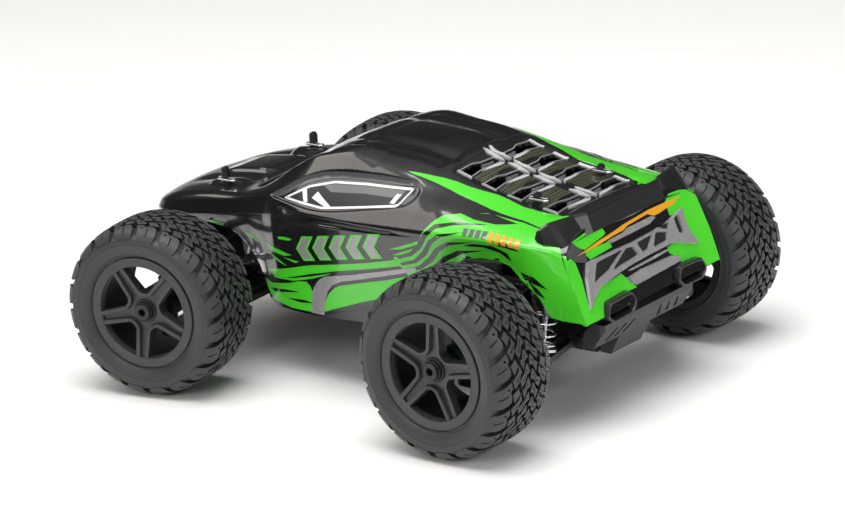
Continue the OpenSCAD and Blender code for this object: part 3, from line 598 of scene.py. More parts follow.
PITCHES = 20
PITCH = 2 * math.pi * TYRE_RADIUS / PITCHES
BAR_THICK = 5.0
BAR_CUT = 0.9  # slant of the ends of a bar
SIPE_WIDTH = 0.8
# the path of the diagonal bars: distance across, distance along the tread
LEAN = [(0.0, 0.0), (3.0, 1.6), (4.8, 5.2), (7.6, 7.2), (9.4, 11.2), (14.0, 15.2)]
# outlines on the shoulder lug as (along, across), along measured from the end of the bar path
LUG = [
    (-0.4, 14.9), (3.4, 14.2), (4.9, 15.7), (9.4, 14.4), (11.9, 15.2), (13.9, 19.5),
    (14.9, 24.2), (13.6, 25.6), (5.0, 25.6), (3.4, 24.0), (1.9, 19.5),
]
LUG_SLIT = [(6.6, 16.9), (7.3, 16.8), (8.8, 20.2), (9.3, 22.6), (8.6, 22.6), (8.1, 20.4)]


def shifted(outline, distance):
    return [(distance + x, y) for x, y in outline]


def lean(across):
    return np.interp(across, [p[0] for p in LEAN], [p[1] for p in LEAN])


def bar_stops(inner, outer):
    return sorted({inner, outer, *[p[0] for p in LEAN if inner < p[0] < outer]})


def bar(start, inner, outer):
    """One block of a diagonal tread bar between two distances across."""
    ws = [(w, BAR_CUT if w in (inner, outer) else 0) for w in bar_stops(inner, outer)]
    near = [(start + lean(w), w + cut) for w, cut in ws]
    far = [(start + lean(w) + BAR_THICK, w - cut) for w, cut in ws]
    return near + far[::-1]


def sipe(start, inner, outer):
    """A slit along the middle of a bar that begins at start."""
    start += BAR_THICK / 2
    ws = bar_stops(inner, outer)
    near = [(start + lean(w) - SIPE_WIDTH / 2, w) for w in ws]
    return near + [(start + lean(w) + SIPE_WIDTH / 2, w) for w in ws][::-1]


def tread_blocks():
    """The flat blocks of one pitch on one half of the tread."""
    blocks = []
    # each bar is broken in two at the distance gap
    for start, gap in ((0.0, 6.6), (PITCH / 2, 8.6)):
        blocks.append((bar(start, 0.8, gap - 0.75), [sipe(start, 2.2, gap - 2.0)]))
        slits = [sipe(start, gap + 2.3, 11.8)] if start == 0 else []
        blocks.append((bar(start, gap + 0.75, 13.2), slits))
    end = lean(14.0)
    blocks.append((shifted(LUG, end), [shifted(LUG_SLIT, end), circle(end + 3.4, 17.0, 0.75)]))
    return [triangulate(outer, 2.4, holes) for outer, holes in blocks]


BLOCKS = tread_blocks()
TYRE_STEPS = 144
FLOOR_STEPS = 22  # profile steps of the sunken tread floor to either side
# the bead and the inside of the tyre as (u, r)
TYRE_INSIDE = [
    (20.4, 33.35), (18.2, 33.3), (18.2, 31.1), (15.2, 31.1), (17.6, 35.5), (20.0, 40.0),
    (19.4, 43.4), (16.0, 45.4), (8.0, 46.3),
]


def add_carcass(bag, place, side):
    """Tread floor, smooth sidewalls, bead and inside."""
    arc = np.concatenate([np.linspace(0, 22, 23), np.linspace(23, CROWN_ARC[-1], 22)])
    depth = np.where(arc < 20, 2.7, np.interp(arc, [20, 23, 26], [2.7, 1.6, 0.0]))
    # a shallow rib circles the sidewall just inside the lugs
    depth = depth - 0.35 * np.exp(-((arc - 29.0) / 0.5) ** 2)
    half = list(zip(*tread_point(arc, -depth)))
    profile = [(-u, r) for u, r in half[:0:-1]] + half
    profile += TYRE_INSIDE + [(-u, r) for u, r in TYRE_INSIDE[::-1]]
    middle = len(half) - 1
    # faces of the sunken tread floor take the darker rubber, painted shade in the grooves
    painted_shade_floor = [int(max(abs(j - middle), abs(j + 1 - middle)) < FLOOR_STEPS)
            for j in range(len(profile))]
    bag.add(*revolve(profile, TYRE_STEPS, place, flip=side < 0), painted_shade_floor * TYRE_STEPS)


def build_tyre(name, front, side):
    place = wheel_place(front, side)
    bag = Bag()
    add_carcass(bag, place, side)
    for flat, tris in BLOCKS:
        along, across = flat[:, 0], flat[:, 1]
        rise = np.interp(across, [0, 20, 24.2, 25.6], [0.0, 0.0, 0.25, 0.05])
        root = np.interp(across, [0, 20, 23, 25.6], [-3.2, -3.1, -2.0, -0.8])
        for half in (1, -1):
            stagger = 0.0 if half > 0 else PITCH / 4
            for k in range(PITCHES):
                theta = -(along + stagger + k * PITCH) / TYRE_RADIUS
                top = place(*tread_point(across * half, rise), theta)
                bottom = place(*tread_point(across * half, root), theta)
                verts, faces = solid(tris, top, bottom, flip=half * side > 0)
                # sides and undersides of the blocks take the darker rubber, painted shade in the
                # grooves
                bag.add(verts, faces, [0] * len(tris) + [1] * (len(faces) - len(tris)))
    make_object(
        f"{name}_tyre_tread", bag.verts(), bag.faces, ["tyre_rubber", "tyre_groove_painted_shade"],
        index=bag.index, body=f"{name}_wheel", slot="tyre_rubber", angle=35,
        replaces=[f"{name}_tyre"])


# ------------------------------------------------------------------ rims
RING_IN = 26.6  # inner radius of the outer ring
STAR = 11.6  # radius of the inner ends of the openings
RIM_TURN = {1: math.radians(-42), -1: math.radians(-8)}  # front, rear
# turned profiles as (u, r)
RING = [
    (17.9, 29.2), (17.9, 31.0), (18.2, 33.2), (20.0, 33.2), (20.0, 32.75), (19.2, 32.7),
    (19.2, 32.1), (20.55, 32.0), (20.85, 31.7), (20.85, 27.3), (20.4, 26.7), (18.6, 26.5),
    (17.4, 27.6),
]
BARREL = [
    (-20.7, 29.2), (-20.7, 33.1), (-18.4, 33.1), (-18.4, 31.0), (18.0, 31.0), (18.0, 29.0),
    (15.0, 29.0), (8.0, 29.1),
]
HUB = [
    (7.0, 2.2), (7.0, 9.2), (11.0, 9.2), (12.0, 7.4), (16.0, 6.9), (17.3, 6.7), (17.6, 6.4),
    (17.6, 5.85), (17.1, 5.8), (17.1, 5.55), (18.9, 5.5), (19.2, 5.3), (19.2, 4.95),
    (18.8, 4.9), (18.8, 4.75), (20.5, 4.7), (20.8, 4.5), (20.8, 2.2),
]
# ridge round an opening as (r, degrees from its middle): the side at the opening, then the back
RIDGE_FRONT = 6
RIDGE = [
    (RING_IN + 0.5, -27.5), (STAR + 0.3, -13.5), (STAR - 0.6, -4.5),
    (STAR - 0.6, 4.5), (STAR + 0.3, 13.5), (RING_IN + 0.5, 27.5),
    (RING_IN + 0.5, 34.2), (STAR - 1.2, 24.5), (STAR - 3.1, 7.0),
    (STAR - 3.1, -7.0), (STAR - 1.2, -24.5), (RING_IN + 0.5, -34.2),
]
OPENING = [(RING_IN - 0.2, t) for t in np.linspace(-27.5, 27.5, 9)] + RIDGE[4:0:-1]


def polar(outline, turn):
    """(r, degrees) to flat points, the angles counted from the second axis."""
    angles = [(r, math.radians(turn + degrees)) for r, degrees in outline]
    return [(r * math.sin(a), r * math.cos(a)) for r, a in angles]


def disc_floor(r):
    return np.interp(r, [6, 9, 12, RING_IN, 28], [16.4, 16.4, 16.2, 18.5, 18.7])


def build_rim(name, front, side):
    place = wheel_place(front, side)
    bag = Bag()

    def flat_place(flat, u):
        """Flat points (forward, up), before the rim's own turn, at u."""
        theta = np.arctan2(flat[:, 0], flat[:, 1]) + RIM_TURN[front]
        return place(u, np.hypot(flat[:, 0], flat[:, 1]), theta)

    def add_flat(tris, top, top_u, bottom, bottom_u, index=0):
        layers = flat_place(top, top_u), flat_place(bottom, bottom_u)
        bag.add(*solid(tris, *layers, flip=side > 0), index)

    bag.add(*revolve(RING, 120, place, flip=side < 0))
    # the barrel takes the darker rim plastic, painted shade seen through the openings
    bag.add(*revolve(BARREL, 120, place, flip=side < 0), 2)
    # the star disc: floor of the hub and of the channels, with five openings
    middles = [36 + 72 * i for i in range(5)]
    disc = polar([(27.4, t) for t in np.linspace(0, 360, 60, endpoint=False)], 0)
    holes = [polar(OPENING, a) for a in middles] + [circle(0, 0, 6.1, 28)]
    flat, tris = triangulate(disc, 2.6, holes)
    r = np.hypot(flat[:, 0], flat[:, 1])
    thickness = np.interp(r, [6, 12, 27], [5.0, 3.6, 2.6])
    add_flat(tris, flat, disc_floor(r), flat, disc_floor(r) - thickness)
    for middle in middles:
        outer = np.array(polar(RIDGE, middle))
        top = inset(outer, 0.62)
        # the side next to the opening stays upright, the side towards the channel slopes
        top[:RIDGE_FRONT] = inset(outer, 0.18)[:RIDGE_FRONT]
        flat, tris = triangulate(top, 2.2)
        foot = spread(flat, tris, [(top, outer)])
        r = np.hypot(flat[:, 0], flat[:, 1])
        high = np.interp(r, [8, 11.0, RING_IN, 28], [18.2, 18.9, 20.45, 20.6])
        low = disc_floor(np.hypot(foot[:, 0], foot[:, 1])) - 0.6
        add_flat(tris, flat, high, foot, low)
    # the hub, sunk in the middle of the star, takes the darker rim plastic as painted shade
    bag.add(*revolve(HUB, 48, place, flip=side < 0), 2)
    # small dished heads on the ring
    tris = np.array([[i, (i + 1) % 8, 8] for i in range(8)])
    for i in range(10):
        angle = math.radians(36 * i + 9)
        cx, cy = 30.0 * math.sin(angle), 30.0 * math.cos(angle)
        flat = np.array(circle(cx, cy, 0.62, 8) + [(cx, cy)])
        add_flat(tris, flat, np.r_[np.full(8, 20.95), 20.72], flat, np.full(9, 20.3), 1)
    make_object(
        f"{name}_rim_star", bag.verts(), bag.faces, ["rim_plastic", "satin_black", "rim_barrel"],
        index=bag.index, body=f"{name}_wheel", slot="rim_plastic", angle=28,
        replaces=[f"{name}_rim"])


for name, front, side in CORNERS:
    build_tyre(name, front, side)
    build_rim(name, front, side)

# ------------------------------------------------------------------ springs
SHOCK_X = 23.5  # shocks beyond the axles, away from the middle
SHOCK_TOP = {1: (47.0, 32.0), -1: (52.0, 43.0)}  # front, rear: y, height over the axle
ARM_LENGTH = {1: 80, -1: 70}
ARM_DROP = 3.5  # fall of a lower arm over its length
ARM_INNER_Y = 22
ARM_END_Z = -18  # outer end of an arm, from the axle
EYE_ALONG, EYE_OVER = 44, 5.5  # the lower eye, along the arm and square to it
COIL_TURNS, COIL_WIRE, COIL_RADIUS = 7, 0.72, 6.2
TURN_STEPS, WIRE_SIDES = 30, 10


def shock_line(front, side):
    """Top eye of a shock, its direction downwards and its length."""
    slope = math.atan(ARM_DROP / ARM_LENGTH[front])
    sin, cos = math.sin(slope), math.cos(slope)
    low_y = ARM_INNER_Y + EYE_ALONG * cos + EYE_OVER * sin
    low_z = ARM_END_Z + ARM_DROP - EYE_ALONG * sin + EYE_OVER * cos
    x = front * (AXLE_X + SHOCK_X)
    top_y, top_z = SHOCK_TOP[front]
    top = np.array([x, side * top_y, AXLE_Z + top_z])
    span = np.array([x, side * low_y, AXLE_Z + low_z]) - top
    length = np.linalg.norm(span)
    return top, span / length, length


def build_spring(name, front, side):
    top, down, length = shock_line(front, side)
    start, end = 10.05, length - 7.65
    across = np.cross(down, [1.0, 0, 0])
    across /= np.linalg.norm(across)
    square = np.cross(down, across)
    t = np.arange(COIL_TURNS * TURN_STEPS + 1) / (COIL_TURNS * TURN_STEPS)
    # closed end coils: the pitch is small over the first and the last turn
    climb = np.interp(t, [0, 1 / COIL_TURNS, 1 - 1 / COIL_TURNS, 1], [0, 0.045, 0.955, 1])
    depth = start + COIL_WIRE + (end - start - 2 * COIL_WIRE) * climb
    verts = []
    for phase, z in zip(t * COIL_TURNS * 2 * math.pi, depth):
        radial = across * math.cos(phase) + square * math.sin(phase)
        centre = top + down * z + radial * COIL_RADIUS
        for j in range(WIRE_SIDES):
            b = 2 * math.pi * j / WIRE_SIDES
            verts.append(centre + (radial * math.cos(b) + down * math.sin(b)) * COIL_WIRE)
    faces = loft_faces(len(t), WIRE_SIDES)
    coil = make_object(
        f"{name}_coil", verts, faces, ["spring_steel"], slot="spring_steel", angle=60)
    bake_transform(coil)
    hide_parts(f"{name}_spring")


for corner in CORNERS:
    build_spring(*corner)

# ------------------------------------------------------------------ body skin
# half sections from the nose to the tail: x, then (y, z) from the lower edge to the crown
SECTIONS = [
    (168, [(22, 70), (24, 73), (25, 76), (24, 79), (16, 81.5), (0, 82.5)]),
    (164, [(36, 69), (38, 73), (39, 78), (37, 82.5), (25, 85), (0, 86)]),
    (154, [(48, 72), (51, 76), (52, 82), (48, 87), (32, 90), (0, 91.5)]),
    (138, [(57, 78.5), (58.5, 80.5), (59.5, 83), (53.5, 92), (37, 94), (0, 95)]),
    (112, [(59.5, 81.5), (60.5, 84), (61, 86.4), (55, 97), (39, 98), (0, 98.5)]),
    (92, [(57, 77), (60.5, 84), (62, 89), (57, 99), (42, 100), (0, 101)]),
    (76, [(57.5, 64), (61, 79), (63.5, 91.4), (59, 101.5), (49, 104), (0, 109)]),
    (62, [(62, 41.5), (64.5, 70), (66, 93.6), (61.5, 104), (50, 111), (0, 117)]),
    (52, [(64, 40), (68, 70), (69, 95.6), (63.5, 106.5), (49, 118), (0, 123)]),
    (30, [(66, 40), (71, 74), (73.5, 99.5), (65, 110), (46.5, 129), (0, 132)]),
    (6, [(66.5, 41), (71.5, 74), (75, 100.5), (65, 112.5), (45, 133), (0, 136.3)]),
    (-22, [(66.5, 43), (71.5, 75), (76, 101.5), (65, 113.5), (43, 131.5), (0, 135)]),
    (-48, [(66, 47), (71.5, 77), (76, 102.5), (65, 114), (41, 127), (0, 130)]),
    (-62, [(66.5, 72), (71, 86), (75.5, 103), (64, 114), (40, 123), (0, 126)]),
    (-84, [(67.5, 90), (70, 95), (73, 104), (62, 111.5), (38.5, 117), (0, 119.5)]),
    (-106, [(67.8, 92), (69.4, 96.5), (71, 104), (60, 109.5), (37.5, 113), (0, 115)]),
    (-124, [(67.4, 80.5), (68.3, 90), (68.4, 103), (58, 107.5), (36.5, 110), (0, 111.5)]),
    (-129, [(66.2, 65), (67.0, 82), (66.6, 102.3), (57, 106.8), (36.3, 109), (0, 110.3)]),
    (-134, [(63.4, 62.6), (65.2, 80), (64.5, 101.4), (56, 106), (36, 108), (0, 109)]),
    (-142, [(62, 62), (62.5, 80), (60, 98.5), (54, 103.2), (37, 107), (0, 109)]),
]
SECTION_X = np.array([row[0] for row in SECTIONS][::-1], float)
SECTION_YZ = np.array([row[1] for row in SECTIONS][::-1], float)
# points along a section: straight run, corner arc, straight run, ...
RUNS = (6, 4, 16, 10, 16, 10, 14, 10, 12, 12)
WALL = 1.5
# the rear face leans: x falls by REAR_LEAN for every mm below REAR_Z
REAR_X, REAR_Z, REAR_LEAN = -142, 104, 0.36
REAR_NORMAL = np.array([-1, 0, REAR_LEAN]) / math.hypot(1, REAR_LEAN)


def pchip(xs, ys, x):
    """Monotone cubic through (xs, ys)."""
    h = np.diff(xs)[:, None, None]
    d = np.diff(ys, axis=0) / h
    slope = np.zeros_like(ys)
    w1, w2 = 2 * h[1:] + h[:-1], h[1:] + 2 * h[:-1]
    same = d[:-1] * d[1:] > 0
    mean = (w1 + w2) / (w1 / np.where(same, d[:-1], 1) + w2 / np.where(same, d[1:], 1))
    slope[1:-1] = np.where(same, mean, 0)
    slope[0], slope[-1] = d[0], d[-1]
    i = np.clip(np.searchsorted(xs, x, side="right") - 1, 0, len(xs) - 2)
    span = h[i]
    t = (x - xs[i])[:, None, None] / span
    start = (1 + 2 * t) * (1 - t) ** 2 * ys[i] + t * (1 - t) ** 2 * span * slope[i]
    return start + t * t * (3 - 2 * t) * ys[i + 1] + t * t * (t - 1) * span * slope[i + 1]


def ease(t):
    t = np.clip(t, 0, 1)
    return t * t * (3 - 2 * t)


def smooth_skin(x):
    """Left half of the outer skin at the stations x, with the section corners rounded."""
    P = pchip(SECTION_X, SECTION_YZ, x)
    ring = np.concatenate([P, P[:, 4:5] * [-1, 1]], axis=1)
    # how far each corner's arc reaches along its edges; smaller at the creases
    reach = [
        0.5,
        0.13,
        np.interp(x, [-60, -40, 50, 70, 100, 150], [0.34, 0.25, 0.22, 0.30, 0.34, 0.4]),
        np.interp(x, [-10, 12, 58, 80], [0.42, 0.14, 0.14, 0.42]),
        0.5,
    ]
    out = []
    start = P[:, 0]
    for k in range(1, 6):
        r = np.reshape(reach[k - 1], (-1, 1))
        c = P[:, k]
        a = c + (P[:, k - 1] - c) * r
        b = c + (ring[:, k + 1] - c) * r
        straight, arc = RUNS[2 * k - 2:2 * k]
        out += [start + (a - start) * t for t in np.linspace(0, 1, straight, endpoint=False)]
        # the last arc stops half way, on the crown
        ts = np.linspace(0, 1, arc, endpoint=False) if k < 5 else np.linspace(0, 0.5, arc)
        out += [(1 - t) ** 2 * a + 2 * t * (1 - t) * c + t * t * b for t in ts]
        start = b
    yz = np.stack(out, axis=1)
    lean_share = np.interp(x, [REAR_X, -134, -124], [1, 0.556, 0])[:, None]
    X = x[:, None] - (REAR_Z - yz[..., 1]) * REAR_LEAN * lean_share
    return np.stack([X, yz[..., 0], yz[..., 1]], axis=-1)


# the window opening and the arched brow above it, as (x, z)
BROW = closed_curve([
    (58, 105), (49, 110), (38, 116), (24, 121), (6, 123.5), (-16, 124), (-36, 123),
    (-45, 120), (-42, 113), (-16, 108), (14, 103.6), (38, 104),
])
# top of the door: x, z
DOOR_LINE = ([-60, -45, -20, 13, 28, 45, 60], [100.0, 99.0, 97.5, 96.0, 93.5, 90.8, 90.0])
# lower limit of the details on the upper side: x, z
TOPSIDE_LINE = ([-142, -62, 6, 62, 112, 168], [101, 112, 118, 106, 93, 76])


def relief(skin):
    """How far the skin is pushed out (mm) by the details pressed into it.

    Each ease() fades a detail in or out: position past its edge over the width of the edge.
    """
    x, y, z = skin[..., 0], skin[..., 1], skin[..., 2]
    topside = ease((z - np.interp(x, *TOPSIDE_LINE)) / 4.0)
    # hood: raised centre panel, and shallow scallops beside it
    d = 2.6 * topside * ease((17 - y) / 2.6) * ease((x - 90) / 9) * ease((141 - x) / 16)
    scallop = np.exp(-((y - 25.5) / 6.0) ** 2)
    d -= 1.0 * topside * scallop * ease((x - 90) / 14) * ease((150 - x) / 16)
    # cowl step in front of the windscreen
    cowl = np.exp(-((x - 80 - (20 - y) * 0.16) / 4.5) ** 2)
    d -= 1.2 * topside * ease((52 - y) / 6) * cowl
    # a raised wedge on either side of the hood with a steep outer face
    wedge = ease((x - 92 - (40 - y) * 0.5) / 12) * ease((126 - x - (40 - y) * 0.4) / 4)
    d += 2.0 * topside * ease((40 - y) / 1.6) * ease((y - 20) / 10) * wedge
    # windscreen edge: a step along the pillar from the window up to the roof
    pillar = np.interp(x, [26, 58, 80], [45, 50, 46])
    ends = ease((x - 24) / 8) * ease((84 - x) / 6)
    d -= 1.3 * ease((pillar - y) / 1.6) * ends * (z > 98)
    # a second step round the rear half of the roof
    d -= 1.1 * topside * ease((37 - y) / 1.8) * ease((x + 46) / 3) * ease((20 - x) / 8)
    # roof: a long flute on either side
    flute = np.exp(-((y - 22) / 5.0) ** 2)
    d -= 1.1 * topside * flute * ease((x + 52) / 10) * ease((34 - x) / 16)
    # recess between the fender crease and the door line
    door = ease((z - np.interp(x, *DOOR_LINE)) / 1.8) * ease((102.0 - z) / 3.5)
    d -= 1.7 * door * ease((52 - x) / 8) * ease((x + 62) / 8) * (y > 58)
    # window recess under the brow
    near = (x > -60) & (x < 70) & (z > 96) & (y > 40)
    points = np.stack([x[near], z[near]], 1)
    gap = edge_distance(BROW, points)
    depth_in = np.full(x.shape, -20.0)
    depth_in[near] = np.where(inside(BROW, points), gap, -gap)
    d -= 1.2 * ease((depth_in + 0.3) / 1.8)
    # rear deck recess
    d -= 1.5 * topside * ease((34 - y) / 2.0) * ease((x + 125) / 2.5) * ease((-49 - x) / 3)
    # raised lip round the rear wheel arches
    edge = np.interp(x, SECTION_X, SECTION_YZ[:, 0, 1])
    lip = np.exp(-((z - edge - 1.6) / 1.5) ** 2)
    return d + 0.8 * lip * ease((-54 - x) / 6) * ease((x + 132) / 8) * (y > 55)


def unit(n):
    return n / np.maximum(np.linalg.norm(n, axis=-1, keepdims=True), 1e-9)


def grid_normals(grid):
    n = unit(np.cross(np.gradient(grid, axis=1), np.gradient(grid, axis=0)))
    # left half: the outer side looks up or to +y
    n[n[..., 1] * 0.6 + n[..., 2] < 0] *= -1
    return n


def build_skin():
    """Outer skin, its normals and the lining of the left half, as grids of points."""
    stations = np.concatenate([np.arange(-142, 168.01, 1.25), SECTION_X])
    smooth = smooth_skin(np.unique(np.round(stations, 2)))
    push = relief(smooth)
    push[:, -1] = push[:, -2]
    skin = smooth + grid_normals(smooth) * push[..., None]
    skin[:, -1, 1] = 0.0
    normal = grid_normals(skin)
    normal[:, -1, 1] = 0.0
    normal = unit(normal)
    lining = skin - normal * WALL
    lining[:, -1, 1] = 0.0
    lining[..., 1] = np.maximum(lining[..., 1], 0.0)
    lining[:, 0, 2] = skin[:, 0, 2]
    # the inside of the nose and of the tail stand a wall's thickness in
    lining[-1, :, 0] -= WALL
    lining[0, :, 0] += WALL
    return skin, normal, lining


SKIN, NORMAL, LINING = build_skin()
ROWS, COLS = SKIN.shape[:2]


def grid_quads(ids):
    corners = [ids[:-1, :-1], ids[:-1, 1:], ids[1:, 1:], ids[1:, :-1]]
    return np.stack(corners, -1).reshape(-1, 4).tolist()


SKIN_TREE = BVHTree.FromPolygons(
    SKIN.reshape(-1, 3).tolist(), grid_quads(np.arange(ROWS * COLS).reshape(ROWS, COLS)))


def soft_normal(point, face):
    """Normal of the skin at a point, blended from the corners of the grid face it lies on."""
    i, j = divmod(face, COLS - 1)
    corners = [(i, j), (i, j + 1), (i + 1, j + 1), (i + 1, j)]
    weights = [1.0 / (np.linalg.norm(SKIN[c] - point) ** 2 + 1e-3) for c in corners]
    n = sum(w * NORMAL[c] for w, c in zip(weights, corners))
    return n / np.linalg.norm(n)


def on_side(x, z):
    """Point and normal of the left skin seen from the side."""
    hit = SKIN_TREE.ray_cast(Vector((x, 160, z)), Vector((0, -1, 0)))
    if hit[0] is None or hit[0][1] < 30:
        hit = SKIN_TREE.find_nearest(Vector((x, 72, z)))
    point = np.array(hit[0])
    return point, soft_normal(point, hit[2])


def on_top(x, y):
    """Point and normal of the left skin seen from above."""
    hit = SKIN_TREE.ray_cast(Vector((x, y, 260)), Vector((0, 0, -1)))
    if hit[0] is None:
        hit = SKIN_TREE.find_nearest(Vector((x, y, 120)))
    point = np.array(hit[0])
    return point, soft_normal(point, hit[2])


def on_rear(flat):
    """Points of the rear face at (y, z)."""
    y, z = flat[:, 0], flat[:, 1]
    return np.stack([REAR_X - (REAR_Z - z) * REAR_LEAN, y, z], 1)


# ------------------------------------------------------------------ body shell
# half of a deck opening as (x from its middle, y): a long slot with a kinked front edge
SLOT = [
    (3.6, 31.5), (3.6, 20), (1.4, 15), (0.6, 4.5), (-3.4, 4.5), (-3.6, 14), (-2.4, 19),
    (-3.4, 31.5),
]
SLOT_X = [-57.5, -74.0, -91.0, -114.5]
SLOTS = [np.array(shifted(SLOT, x)) for x in SLOT_X]
POSTS = [(111.5, 39), (111.5, -39), (-104, 29), (-104, -29)]  # x, y
POST_HOLE = 3.4


def shell_mesh():
    """Closed mesh of both halves, outer skin and lining; the crown column is shared."""
    left = np.arange(ROWS * COLS).reshape(ROWS, COLS)
    right = left.copy()
    right[:, :-1] = left.size + np.arange(ROWS * (COLS - 1)).reshape(ROWS, COLS - 1)
    layer = left.size + ROWS * (COLS - 1)
    left_in, right_in = left + layer, right + layer
    verts = []
    for grid in (SKIN, LINING):
        verts += [grid.reshape(-1, 3), (grid[:, :-1] * MIRROR).reshape(-1, 3)]
    faces = grid_quads(left) + turned(grid_quads(right))
    faces += turned(grid_quads(left_in)) + grid_quads(right_in)
    # lower edges
    for out, lining, flip in ((left, left_in, False), (right, right_in, True)):
        for i in range(ROWS - 1):
            face = [out[i, 0], out[i + 1, 0], lining[i + 1, 0], lining[i, 0]]
            faces.append(face[::-1] if flip else face)
    # the nose, then the tail, closed between left and right, outside and inside
    for row, flip in ((ROWS - 1, False), (0, True)):
        for a, b, back in ((left[row], right[row], False), (left_in[row], right_in[row], True)):
            for j in range(COLS - 1):
                face = [a[j], a[j + 1], b[j + 1], b[j]]
                if a[j + 1] == b[j + 1]:
                    face = [a[j], a[j + 1], b[j]]
                faces.append(face[::-1] if flip != back else face)
        face = [left[row, 0], right[row, 0], right_in[row, 0], left_in[row, 0]]
        faces.append(face[::-1] if flip else face)
    return np.concatenate(verts), faces


def build_cutter():
    """Post holes and deck openings, to be taken out of the shell."""
    bag = Bag()
    for x, y in POSTS:
        add_prism(bag, circle(x, y, POST_HOLE, 28), 3, top=150.0, bottom=80.0)
    for slot in SLOTS:
        for half in (1, -1):
            add_prism(bag, rounded(slot * [1, half], 1.6), 4, top=150.0, bottom=88.0)
    return make_object("cutter_tmp", bag.verts(), bag.faces, ["body_inner"])


def build_shell():
    shell = make_object("body_shell_skin", *shell_mesh(), ["body_black", "body_inner"], angle=24)
    cutter = build_cutter()
    cut = shell.modifiers.new("cut", "BOOLEAN")
    cut.operation, cut.solver, cut.object = "DIFFERENCE", "EXACT", cutter
    bpy.context.view_layer.update()
    depsgraph = bpy.context.evaluated_depsgraph_get()
    mesh = bpy.data.meshes.new_from_object(shell.evaluated_get(depsgraph))
    shell.modifiers.clear()
    shell.data = mesh
    bpy.data.objects.remove(cutter)
    # faces that look towards the middle of the shell get the dull inner finish
    centre = np.array([p.center for p in mesh.polygons]) * 1000
    normal = np.array([p.normal for p in mesh.polygons])
    n = len(centre)
    core = np.stack([np.clip(centre[:, 0], -120, 140), np.zeros(n), np.full(n, 70.0)], 1)
    outward = ((centre - core) * normal).sum(1) > 0
    mesh.materials.clear()
    mesh.materials.append(MATERIALS["body_black"])
    mesh.materials.append(MATERIALS["body_inner"])
    mesh.polygons.foreach_set("material_index", np.where(outward, 0, 1).astype(np.int32))
    shade(mesh, 48)
    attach(shell, "body_shell")
    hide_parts("body_shell")


build_shell()


# ------------------------------------------------------------------ body graphics
def crease_lines():
    """(x, z) lines along the start, middle and end of the arcs at the three upper creases."""
    first = np.cumsum((0,) + RUNS)
    lines = []
    for arc in (3, 5, 7):
        for j in (first[arc], first[arc] + RUNS[arc] // 2, first[arc + 1]):
            lines.append(SKIN[::2, j][:, [0, 2]])
    return lines


# kept as edges, so that a film follows the skin without cutting through it
CREASES = crease_lines()
FLUSH = 0.4  # films lifted less than this take over the normals of the skin


def creases_near(outline):
    low, high = np.min(outline, 0) - 2, np.max(outline, 0) + 2
    out = []
    for line in CREASES:
        k = np.where(((line > low) & (line < high)).all(1))[0]
        if len(k) > 2:
            runs = np.split(k, np.where(np.diff(k) > 1)[0] + 1)
            out += [line[run] for run in runs if len(run) > 1]
    return out


def films(name, view, regions, mat, lift, step=1.6, holes=None):
    """Thin films on the skin. Outlines are (x, z) for the side, (x, y) for the top and (y, z)
    for the rear; side and top films are mirrored. holes has a list for each region."""
    bag, normals = Bag(), []
    for outer, inner in zip(regions, holes or [()] * len(regions)):
        outer = np.asarray(outer, float)
        lines = creases_near(outer) if view == "side" else []
        flat, tris = triangulate(outer, step, inner, lines)
        if view == "rear":
            points = on_rear(flat)
            normal = np.tile(REAR_NORMAL, (len(flat), 1))
        else:
            project = on_side if view == "side" else on_top
            hits = [project(float(a), float(b)) for a, b in flat]
            points, normal = (np.array(part) for part in zip(*hits))
        flip = not faces_along(points, tris, normal)
        verts, faces = solid(tris, points + normal * lift, points - normal * 0.25, flip)
        both = np.concatenate([normal, normal])
        normals.append(both)
        if view == "rear":
            bag.add(verts, faces)
        else:
            bag.add_pair(verts, faces)
            normals.append(both * MIRROR)
    obj = shell_part(name, bag.verts(), bag.faces, mat, angle=180 if lift < FLUSH else 30)
    if lift < FLUSH:
        obj.data.normals_split_custom_set_from_vertices(np.concatenate(normals).tolist())


def outlines(text):
    """Outlines from text: commas between points, semicolons between outlines."""
    return [
        [tuple(map(float, point.split())) for point in outline.split(",")]
        for outline in text.split(";")
    ]


def slanted(count, first, pitch, shape):
    """count copies of an outline, each moved on by pitch."""
    return [
        [(first[0] + i * pitch[0] + x, first[1] + i * pitch[1] + y) for x, y in shape]
        for i in range(count)
    ]


# a row of slanted chevrons along the door
CHEVRONS = [
    [(27.5 - i * 12.6 + x, 74.6 + i * 2.3 + z - x * 0.16)
     for x, z in ((-5.4, 0), (0.6, 0), (4.4, 6.2), (-0.6, 12.6), (-6.6, 12.6), (-1.6, 6.2))]
    for i in range(5)
]
# two sill panels, the long door stripe and the small stripes round it
GREEN_DOOR = outlines("""
    67 55, 60 53.6, 44 57, 36 59.6, 30 60.4, 27.4 58, 25.4 50, 28 42, 45 41.6, 60 43.6, 65.6 49;
    22 43, 18 50, 14 56, 9 60, 5 62, -14 67, -30 71, -50 77, -52 70, -42 64, -30 61, -11 55, 6 49;
    62 62, 52 64, 42 66.5, 26 71, 4 75, -16 79, -37 84, -56 91, -56 85, -36 80, -16 75.3, 5 71,
    27 65.5, 44 60.5, 55 58;
    57 58, 40 60.8, 26 64.2, 10 68.6, 12 67.6, 26 62.8, 40 59.2;
    48 84.2, 42 85.2, 36 85, 38 83.8, 47 83;
    62 78.5, 56 77.2, 38 75, 44 73.6, 52 74;
    60 73, 52 71, 44 67.6, 50 69;
    45 72.4, 33 72, 36 70.8;
    -38 87.4, -46 90.6, -58 95.4, -57 91.4, -46 88;
    -36 90.4, -44 93.2, -56 98, -60 98.4, -55 95.6, -44 91.6
""")
# from the roof corner to the tail
GREEN_SWOOSH = closed_curve([
    (-31, 126.2), (-52, 124), (-76, 118.4), (-102, 113.2), (-128, 109.3), (-129, 107.6),
    (-110, 110.4), (-89, 113.4), (-72, 117.2), (-50, 122.6),
])
